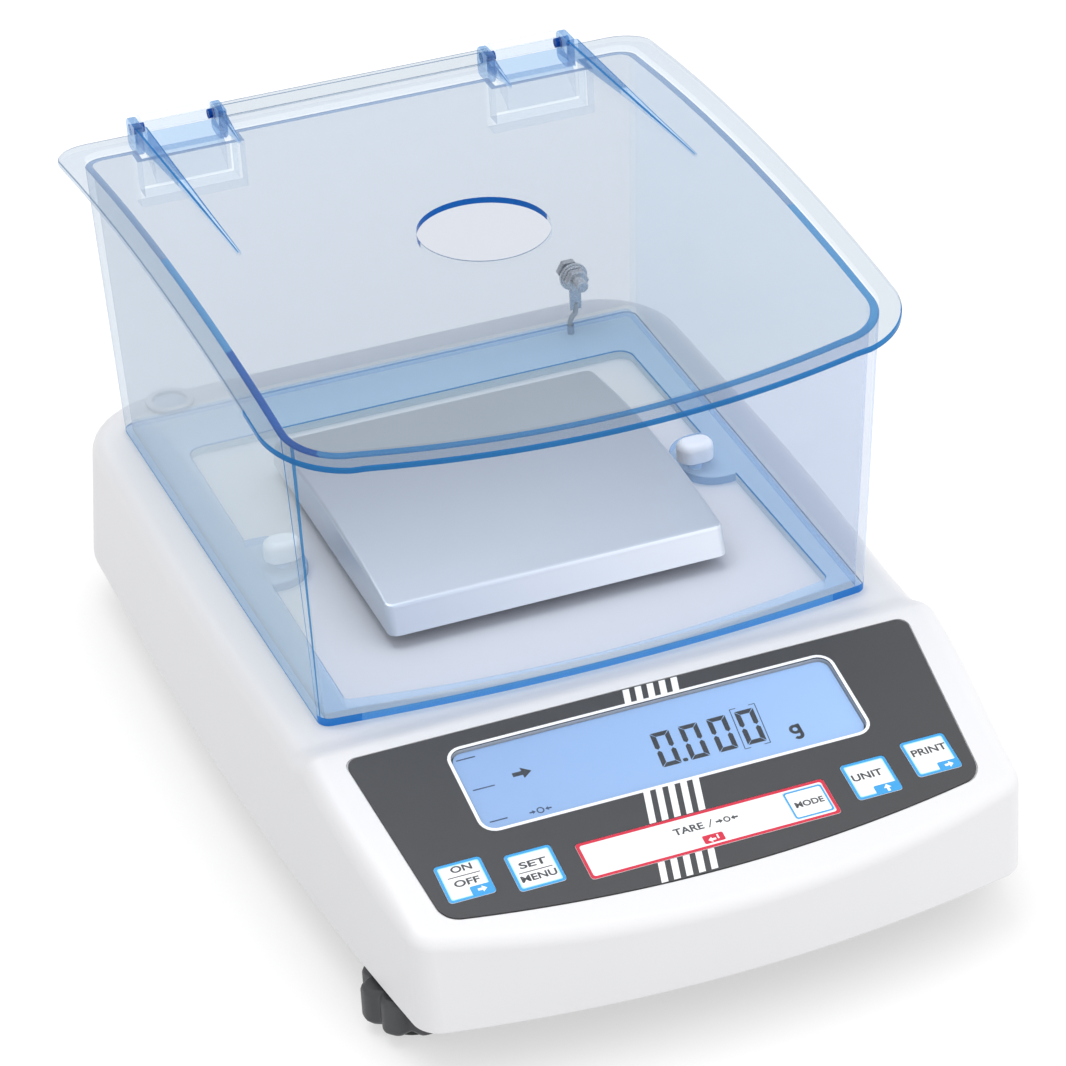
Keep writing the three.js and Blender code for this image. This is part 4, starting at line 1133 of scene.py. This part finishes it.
def wall_finish(middle, finish, _way):
    """The finish of a face of the walls, picked by where it is as painted light and shade: paler in front,
    darker at the rear and on the right, blue lines with darker blocks at the front corners along the base,
    and the rim's line bluest at the front left corner.
    """
    left, front = middle.x < 0, middle.y < -50
    if finish == WALL:
        if front:
            return LAST
        return BACK if middle.y > 137 else (WALL if left else RIGHT)
    if finish == EDGE:
        if front or middle.y < rim_corner_y:
            return EDGE if middle.x < -84 else MID
        if middle.y > 60 or (not left and middle.y > 10):
            return SOFT
        if not left:
            return MID
        return MID if middle.y > -5 else EDGE
    if finish in (LINE, BAND) and middle.z < flange_top_z + 1:
        if not front:
            return (MID if left else THIN) if finish == LINE else WALL
        return BLOCK if abs(middle.x) > 77 else LINE
    return finish


def pocket_room(left, right, front, rear, low, high):
    """The room in a hinge pocket; where its front has only air behind it, a painted darker tint makes it as
    dark as the wall.
    """
    xs = (left, right - 0.35 * pocket_depth, right)
    zs = (low, low + 0.6 * pocket_depth, high)
    points = [(x, front, z) for z in zs for x in xs]
    points += [(left, rear, low), (right, rear, low), (left, rear, high), (right, rear, high)]
    faces = [
        [0, 1, 4, 3], [1, 2, 5, 4], [3, 4, 7, 6], [4, 5, 8, 7],
        [0, 3, 6, 11, 9], [2, 10, 12, 8, 5], [0, 9, 10, 2, 1], [6, 7, 8, 12, 11], [9, 11, 12, 10],
    ]
    return Form().add(points, faces, [FAINT, FAINT, PAINTED_DARK, FAINT, PAINTED_DARK, FAINT, FAINT, FAINT, FAINT])


def hinge_edges(side):
    middle = side * hinge_x
    return middle - hinge_width / 2, middle + hinge_width / 2


def make_shield():
    body = wall_form().piece("shield_walls", *shield_surfaces)
    wall_out = shield_rear_y + rim_rear_lean
    pocket_front = wall_out - pocket_depth
    pocket_top = rim_at(wall_out)
    pocket_low = pocket_top - pocket_height
    for side in (-1, 1):
        left, right = hinge_edges(side)
        left, right = left - pocket_gap, right + pocket_gap
        shell = block(
            left - pocket_wall, pocket_front - pocket_wall, pocket_low - pocket_wall,
            right + pocket_wall, wall_out - shield_wall / 2, pocket_top, FAINT,
        )
        # Painted light: the pocket's top gets the rim's soft blue line.
        shell.finishes[-1] = SOFT
        fuse(body, shell)
        cut(body, pocket_room(left, right, pocket_front, wall_out + 4, pocket_low, pocket_top + 4))
    # The bolt hole's bore gets the painted thin blue line.
    cut(body, bar_y(bolt_hole, ground_x, shield_rear_y - 6, shield_rear_y + 6, ground_z, finish=THIN))
    dress(tagged(body, wall_finish), "housing", "clear_blue", "shield_body")
    make_flange()
    for side in (-1, 1):
        make_knuckle(side, pocket_front)


def make_flange():
    loops = [
        shield_loop(base, shield_wall + 0.02, shield_base_z),
        shield_loop(base, shield_wall + 0.02, flange_top_z),
        shield_loop(flange, -chamfer, flange_top_z),
        shield_loop(flange, 0, flange_top_z - chamfer),
        shield_loop(flange, 0, shield_base_z),
    ]
    sheet = loft(loops, True, [WALL, FLANGE, EDGE, WALL, WALL]).piece("shield_flange", *shield_surfaces)
    outer, inner = base_front_half - shield_wall / 2, flange_half - tab_reach
    for side in (-1, 1):
        outline = rounded_box(side * (outer + inner) / 2, latch_y, outer - inner, tab_length, tab_corner, 12)
        # Painted light: the tab's rounded sides get the bluer band tint.
        tab = raised(outline, shield_base_z, flange_top_z, BAND)
        tab.finishes[-2:] = WALL, FLANGE
        fuse(sheet, rounded(tab.piece("tab", *shield_surfaces), 0.4))
        cut(sheet, post(latch_hole, side * latch_x, latch_y, *flange_cut, FLANGE))
    # The lead hole's bore gets the painted thin blue line.
    cut(sheet, post(lead_hole, lead_x, shield_rear_y - 5, *flange_cut, THIN))

    # Painted light: the flange's edge line, deeper on the right and at the rear, softer elsewhere.
    def finish_at(middle, finish, _way):
        if finish != EDGE:
            return finish
        return MID if middle.x > 0 or middle.y > flange_rear_y - 2 else SOFT

    dress(tagged(sheet, finish_at), "housing", "clear_blue", "shield_body")


def make_knuckle(side, pocket_front):
    left, right = hinge_edges(side)
    inner_left, inner_right = left + ear_thickness + ear_play, right - ear_thickness - ear_play
    wall_y = pocket_front - pocket_wall / 2
    corner = knuckle_radius * math.sqrt(0.5)
    knuckle = bar_x(knuckle_radius, inner_left, inner_right, hinge_y, hinge_z, 40, FAINT)
    knuckle = knuckle.piece(f"hinge_knuckle_{side_names[side]}", *shield_surfaces)
    # Painted light: one sloping face of the bracket gets the bluer band tint; the rest is faint.
    bracket = side_view([
        (hinge_y, hinge_z), (hinge_y - knuckle_radius, hinge_z), (wall_y, hinge_z - knuckle_radius),
        (wall_y, hinge_z - pocket_height), (hinge_y + corner, hinge_z - corner),
    ], inner_left, inner_right, [FAINT, BAND, FAINT, FAINT, FAINT, FAINT, FAINT])
    fuse(knuckle, bracket)
    cut(knuckle, bar_x(pin_radius + 0.3, left, right, hinge_y, hinge_z, 24, FAINT))
    dress(rounded(knuckle, 0.4), "housing", "clear_blue", "shield_body")


# Lid


def ear_profile():
    """An ear: round towards the rear, and flat on top and below."""
    low, high = hinge_z - ear_drop, hinge_z + ear_rise
    rear, front = hinge_y + ear_radius - 1, hinge_y - ear_radius - 1
    corners = (
        arc(rear - ear_round, high - ear_round, ear_round, QUARTER, 0, 5)
        + arc(rear - ear_round, low + ear_round, ear_round, 0, -QUARTER, 5)
        + arc(front + ear_round, low + ear_round, ear_round, -QUARTER, -2 * QUARTER, 5)
    )
    return [(front, high), *((p.x, p.y) for p in corners)]


def rib_form(x, lean, length, end_width):
    """A rib from the ear to its tip, where it narrows and sinks into the lid."""
    start = hinge_y - ear_radius
    tip = hinge_y - length
    rib_start = hinge_z + ear_radius / 2
    count = 16
    loops, finishes = [], []
    for i in range(count + 1):
        share = i / count
        y = start + (tip - start) * share
        top = rib_start + (lid_top_at(tip) + 0.05 - rib_start) * share
        top = max(top, lid_top_at(y) + 0.06)
        half = (ear_thickness * (1.3 if lean else 0.8) * (1 - share) + end_width * share) / 2
        low = lid_top_at(y) - lid_thickness / 2
        line = min(0.6, half * 0.6)
        at = x + lean * (0.4 + 0.6 * share)
        loops.append([
            (at - half, y, low), (at - half, y, top - line / 2), (at - half + line, y, top),
            (at + half - line, y, top), (at + half, y, top - line / 2), (at + half, y, low),
        ])
    # Painted light: the rib's top edges get blue lines, deeper on the long leaning ribs, and its sides a
    # bluer tint near the ear.
    for i in range(count):
        line, fill = (EDGE if lean else SOFT), (BAND if i < count * 0.4 else FLANGE)
        finishes += [fill, line, fill, line, fill, FAINT]
    return stack(loops, finishes + [FAINT, FAINT])


def lid_finish(middle, finish, _way):
    """The lid's edge carries painted light: a deep blue line along the front, and only a thin line elsewhere.
    """
    blue = middle.y < (lid_blue_left if middle.x < 0 else lid_blue_right)
    if finish in (EDGE, MID, THIN) and blue:
        return EDGE
    return BACK if finish in (EDGE, MID) else finish


def hole_cutter():
    """A round cutter whose upper line follows the arch of the lid."""
    outline = circle(hole_radius, 0, hole_y, 96)
    middle = [(p.x, p.y, lid_top_at(p.y) - chamfer) for p in outline]
    pairs = list(zip(outline, outline[1:] + outline[:1]))
    # Painted light: the hole's rear half gets the deep blue edge finish, its front half the pale lid tint
    # with a thin line at the top.
    finishes = [LAST if (a.y + b.y) / 2 > hole_y else near for near in (WALL, THIN) for a, b in pairs]
    return stack([at_height(outline, lid_low), middle, at_height(outline, lid_high)], finishes + [WALL, WALL])


def make_lid():
    loops = [
        shield_loop(rim, 0, lid_under_at),
        shield_loop(lid, chamfer, lid_under_at),
        shield_loop(lid, 0, lambda y: lid_under_at(y) + chamfer),
        shield_loop(lid, 0, lambda y: lid_top_at(y) - chamfer),
        shield_loop(lid, chamfer, lid_top_at),
        shield_loop(rim, 0, lid_top_at),
    ]
    # Painted light: the lid's edge rows get blue line finishes, which lid_finish keeps deep blue only at the
    # front.
    sheet = loft(loops, False, [BACK, MID, EDGE, THIN, BACK]).piece("lid_sheet", *lid_surfaces)
    cut(sheet, hole_cutter())
    notch_front = shield_rear_y + rim_rear_lean - pocket_depth
    for side in (-1, 1):
        left, right = hinge_edges(side)
        cut(sheet, block(
            left + ear_thickness, notch_front, lid_low, right - ear_thickness, lid_rear_y + 4, lid_high, BAND,
        ))
    dress_lid(tagged(sheet, lid_finish))
    half = hinge_x - hinge_width / 2 + ear_thickness
    upstand = block(
        -half, lid_rear_y - upstand_thickness, lid_top_at(lid_rear_y) + 0.01,
        half, lid_rear_y, lid_under_at(lid_rear_y) + upstand_height, WALL,
    )
    upstand = rounded(upstand.piece("lid_upstand", *lid_surfaces), 0.4)
    # Painted light: faces of the upstand that lean upward get the thin blue line, the rest the darker strip
    # tint.
    dress_lid(tagged(upstand, lambda _middle, _finish, way: THIN if 0.3 < way.z < 0.9 else BACK))
    for side, name in side_names.items():
        left, right = hinge_edges(side)
        lengths = (long_rib, short_rib) if side < 0 else (short_rib, long_rib)
        for mark, x, length in zip("ab", (left, right - ear_thickness), lengths):
            # Painted light: the ear's round edge gets the bluer band tint, and its flat sides the paler
            # flange tint.
            ear = side_view(ear_profile(), x, x + ear_thickness, BAND)
            ear.finishes[-2:] = FLANGE, FLANGE
            ear = ear.piece(f"lid_ear_{name}_{mark}", *lid_surfaces)
            cut(ear, bar_x(pin_radius + 0.1, x - 2, x + ear_thickness + 2, hinge_y, hinge_z, 24, MID))
            dress_lid(rounded(ear, 0.5))
            lean = rib_lean if length == long_rib else 0
            rib = rib_form(x + ear_thickness / 2, lean, length, 0.9 if lean else 0.5)
            dress_lid(rib.piece(f"lid_rib_{name}_{mark}", *lid_surfaces))
        pin = Form()
        # The pin takes the shield's tints, not steel's: deep blue where it passes out of each ear, painted
        # edge light, and pale clear elsewhere.
        ends = [0, ear_thickness - 0.6, ear_thickness + 1.8]
        stops = [left + end for end in ends] + [right - end for end in reversed(ends)]
        for start, end, tint in zip(stops, stops[1:], (1, 0, 1, 0, 1)):
            pin.join(bar_x(pin_radius, start, end, hinge_y, hinge_z, 24, tint))
        pin = pin.piece("pin_" + name, "edge_deep", "clear_pin")
        dress(pin, "lid", "machined_steel", "hinge_pin_" + name)


def dress_lid(piece):
    dress(piece, "lid", "clear_blue", "shield_lid")


# Latches


def make_latches():
    bottom = flange_top_z + 0.05
    height, width, length, bulge = 6.7, 8.9, 12, 2.6
    corner = width / 2 - 0.15
    rows = [(0.25, bottom), (0, bottom + 0.25)]
    rows += [(bulge * (1 - math.cos(t)), bottom + height - bulge * (1 - math.sin(t)))
             for t in steps_between(0, QUARTER * 0.96, 9)]
    for side, name in side_names.items():
        x = side * latch_x
        loops = [
            at_height(rounded_box(x, latch_y, length - 2 * gone, width - 2 * gone, corner - gone, 12), z)
            for gone, z in rows
        ]
        knob = stack(loops).piece("latch_knob_" + name, "key_white")
        shaft = post(2.2, x, latch_y, 58.0, bottom + 1).piece("latch_shaft_" + name, "key_white")
        dress(knob, "latch_" + name, "key_white", "shield_latch_" + name, angle=40)
        dress(shaft, "latch_" + name, "key_white", "shield_latch_" + name)


# Pan


def pan_top_at(y, lower=0):
    share = (y - pan_y) / pan_half_depth
    return pan_edge_z + pan_crown * max(0, 1 - share * share) - lower


def pan_outline(grow_y, inset):
    rear = pan_y + pan_half_depth + grow_y - inset
    front = pan_y - pan_half_depth - grow_y + inset
    corner = max(pan_corner - inset, 0.6)
    stops = [rear + (front - rear) * s for s in steps_between(0.08, 0.92, 30)]
    return half_outline(
        rear, front, 0, corner, corner, lambda y: pan_half_width - inset, stops, corner_steps=6, bow_steps=8,
    )


def make_pan():
    def top_loops(inset, lower, steps, edge):
        loops = []
        for turn in steps_between(0, QUARTER, steps):
            outline = pan_outline(0, inset + edge * (1 - math.cos(turn)))
            drop = edge * (1 - math.sin(turn))
            loops.append(full_loop(outline, lambda y, drop=drop: pan_top_at(y, lower) - drop))
        return loops + [full_loop(pan_outline(0, inset + edge + 0.5), lambda y: pan_top_at(y, lower))]

    inner = top_loops(pan_sheet, pan_sheet, 4, pan_round - pan_sheet * 0.5)
    bottom = [full_loop(pan_outline(pan_flare, inset), pan_bottom_z) for inset in (pan_sheet, 0)]
    pan = loft(list(reversed(inner)) + bottom + top_loops(0, 0, 6, pan_round))
    pan = pan.piece("pan_sheet", "pan_steel", "pan_front_painted_light")
    # Painted light: faces on the front half that turn to the front get the brighter pan front finish.
    tagged(pan, lambda middle, _finish, way: 1 if way.y < -0.5 and middle.y < pan_y else 0)
    dress(pan, "pan", "pan_steel", "weighing_pan", angle=40)


# Earthing point


def hexagon(radius):
    return circle(radius, steps=6)


def along_y(form, x, y, z):
    """Turns a form that stands on Z so that it points to the front, and puts it at a point."""
    return form.moved(Matrix.Translation((x, y, z)) @ Matrix.Rotation(QUARTER, 4, "X"))


def fit_steel(form, name, y, edge, node):
    """A steel piece of the earthing point, which stands on Z until it is laid along Y."""
    piece = along_y(form, ground_x, y, ground_z).piece(name, "machined_steel")
    if edge:
        rounded(piece, edge)
    dress(piece, "housing", "machined_steel", node)


def make_ground():
    out = shield_rear_y + rim_rear_lean * (ground_z - deck_height) / (rim_top - deck_height)
    wall_in = out - shield_wall
    shank = turned([(2, 0), (2, 12.4), (1.6, 12.9)])
    for i in range(9):
        z = 8.4 + i * 0.5
        shank.join(turned([(1.9, z), (2.12, z + 0.12), (2.12, z + 0.2), (1.9, z + 0.32)]))
    half_turn = QUARTER * 2
    lug = arc(0, 0, 4.4, 0.5 - QUARTER, half_turn * 1.5 - 0.5, 30) + [(-2, -12), (2, -12)]
    fit_steel(raised(hexagon(4.2), 0, 2.8), "ground_head", out + 3.1, 0.4, "ground_bolt")
    fit_steel(shank, "ground_shank", out + 1.2, 0, "ground_bolt")
    fit_steel(ring(circle(5), circle(2.15), 0, 0.8), "ground_ring", wall_in - 0.3, 0.15, "ground_washer")
    fit_steel(raised(lug, 0, 0.8), "ground_tag", wall_in - 1.2, 0.15, "ground_lug")
    fit_steel(raised(hexagon(4.2), 0, 3), "ground_hex", wall_in - 2.1, 0.45, "ground_nut")
    lug_y = wall_in - 1.6
    route = [(ground_x, lug_y, 71.4), (ground_x, lug_y, 67.4), ((ground_x + lead_x) / 2, lug_y - 0.9, 67.6)]
    route += [(lead_x, lug_y - 0.9, z) for z in (65.2, 60.4, 50.2)]
    path = bpy.data.curves.new("ground_lead", "CURVE")
    path.dimensions = "3D"
    path.bevel_depth = 0.9 * METRE
    path.bevel_resolution = 4
    path.use_fill_caps = True
    line = path.splines.new("NURBS")
    line.points.add(len(route) - 1)
    for spot, place in zip(line.points, route):
        spot.co = (*(Vector(place) * METRE), 1)
    line.use_endpoint_u = True
    line.order_u = 3
    lead = bpy.data.objects.new("ground_lead", mesh_of(path))
    bpy.context.scene.collection.objects.link(lead)
    lead.data.materials.append(looks["grey_wire"])
    dress(lead, "housing", "grey_wire", "ground_wire")


# Feet, sockets and level


def lobed(radius, x, y):
    """The outline of a foot's wheel: round, with hollows between its lobes."""
    points = []
    for i in range(wheel_steps):
        turn = 2 * math.pi * i / wheel_steps
        reach = radius - wheel_hollow * (0.5 - 0.5 * math.cos(wheel_lobes * turn)) ** 2
        points.append((x + reach * math.cos(turn), y + reach * math.sin(turn)))
    return points


def make_feet():
    for row, wy in (("front", -1), ("rear", 1)):
        for wx, column in side_names.items():
            place = f"{row}_{column}"
            x, y = wx * foot_x, wy * foot_y
            pad = turned([(7.8, 0), (8.8, 0.3), (9, 1.0), (9, 2.6), (8.4, 3)])
            pad.moved(Matrix.Translation((x, y, 0)))
            pad = pad.piece("pad_" + place, "black_rubber")
            dress(pad, "foot_" + place, "black_rubber", "foot_pad_" + place)
            rows = ((3.3, 1.6), (4.4, 0.4), (5.2, 0), (13.6, 0), (14.6, 0.4), (15.5, 1.6))
            wheel = stack([at_height(lobed(wheel_radius - gone, x, y), z) for z, gone in rows])
            wheel.join(post(3, x, y, 15.51, 33.5))
            wheel = wheel.piece("wheel_lobes_" + place, "dark_plastic")
            dress(wheel, "wheel_" + place, "dark_plastic", "foot_wheel_" + place)


def port_block(half_width, half_height, y0, y1):
    low, high = socket_z - half_height, socket_z + half_height
    return block(port_x - half_width, y0, low, port_x + half_width, y1, high)


def make_sockets():
    face = rear_y - 0.3
    jack = bar_y(jack_radius, jack_x, face - 14, face, socket_z, 40).piece("jack_body", "dark_plastic")
    cut(jack, bar_y(3.2, jack_x, face - 9.8, face + 2, socket_z))
    dress(rounded(jack, 0.3), "housing", "dark_plastic", "power_jack")
    port = port_block(port_half_width, port_half_height, face - 13, face).piece("port_body", "machined_steel")
    cut(port, port_block(9.5, 3.25, face - 6.5, face + 2))
    dress(rounded(port, 0.4), "housing", "machined_steel", "data_port")


def make_level():
    place = Matrix.Translation((level_x, level_y, 0))
    cup = turned([
        (7, 55), (7, 61.2), (8.1, 61.3), (8.1, 62.2), (7.9, 62.5), (6.0, 62.5), (5.8, 62.3), (5.8, 61.2),
    ])
    vial = turned([(5.4, 61.25), (5.45, 62.3), (5.2, 62.6), (4.2, 63.1), (2.5, 63.4), (0.5, 63.5)])
    dress(cup.moved(place).piece("level_ring", "white_plastic"), "housing", "white_plastic", "level_cup")
    dress(vial.moved(place).piece("level_glass", "clear_faint"), "housing", "display_pane", "level_vial")


def dress_nodes():
    """Finishes for the CAD nodes that stay as they are."""
    surfaces = {"front_foil": "foil_grey", "display_pane": "clear_pane", "clear_blue": "clear_wall"}
    for part in frame["record"]["subparts"]:
        node = frame["nodes"][part["node"]]
        slot = part["material_slot"]
        node.data.materials.clear()
        node.data.materials.append(looks[surfaces.get(slot, slot)])


# Stage


def make_camera():
    data = bpy.data.cameras.new("camera")
    data.lens = focal_pixels / photo_width * sensor_width
    data.sensor_width = sensor_width
    data.clip_start = 0.05
    camera = bpy.data.objects.new("camera", data)
    camera.matrix_world = (
        Matrix.Translation(camera_target * METRE)
        @ Matrix.Rotation(camera_azimuth, 4, "Z")
        @ Matrix.Rotation(QUARTER - camera_height_angle, 4, "X")
        @ Matrix.Rotation(camera_roll, 4, "Z")
        @ Matrix.Translation((0, 0, camera_distance * METRE))
    )
    bpy.context.scene.collection.objects.link(camera)
    bpy.context.scene.camera = camera


def add_light(name, place, size, power):
    data = bpy.data.lights.new(name, "AREA")
    data.shape = "DISK"
    data.size = size
    data.energy = power
    light = bpy.data.objects.new(name, data)
    light.location = place
    light.rotation_euler = (light_aim - light.location).to_track_quat("-Z", "Y").to_euler()
    bpy.context.scene.collection.objects.link(light)


def make_stage():
    scene = bpy.context.scene
    scene.view_settings.view_transform = "Standard"
    scene.cycles.transparent_max_bounces = 48
    scene.cycles.max_bounces = 12
    scene.cycles.caustics_reflective = False
    scene.cycles.caustics_refractive = False
    world = bpy.data.worlds.new("studio")
    world.use_nodes = True
    tree = world.node_tree
    place = add_node(tree, "TexCoord", {})
    along = add_node(
        tree, "VectorMath", {0: place.outputs["Generated"], 1: brighter_way}, operation="DOT_PRODUCT",
    )
    limits = {"From Min": -1, "To Min": 0.41, "To Max": 1.44}
    share = add_node(tree, "MapRange", {"Value": along.outputs["Value"], **limits})
    feed(tree, tree.nodes["Background"].inputs["Strength"], share.outputs["Result"])
    feed(tree, tree.nodes["Background"].inputs["Color"], (1, 1, 1))
    scene.world = world
    glow = plastic("floor_white", (0.4, 0.4, 0.4), 0.9, 0.0, 0.0).inputs
    glow["Emission Color"].default_value = (1, 1, 1, 1)
    glow["Emission Strength"].default_value = 0.56
    half = floor_size / 2
    corners = [(-half, -half, 0), (half, -half, 0), (half, half, 0), (-half, half, 0)]
    floor = Form().add(corners, [[0, 1, 2, 3]])
    floor = floor.piece("floor", "floor_white")
    add_light("key", (0.9, -1.1, 1.6), 1.4, 2.5)
    add_light("top", (-0.3, 0.4, 2.0), 1.6, 17.5)


make_camera()
make_stage()
make_housing()
make_foil()
make_display()
make_keys()
make_legends()
make_shield()
make_lid()
make_latches()
make_pan()
make_ground()
make_feet()
make_sockets()
make_level()
dress_nodes()
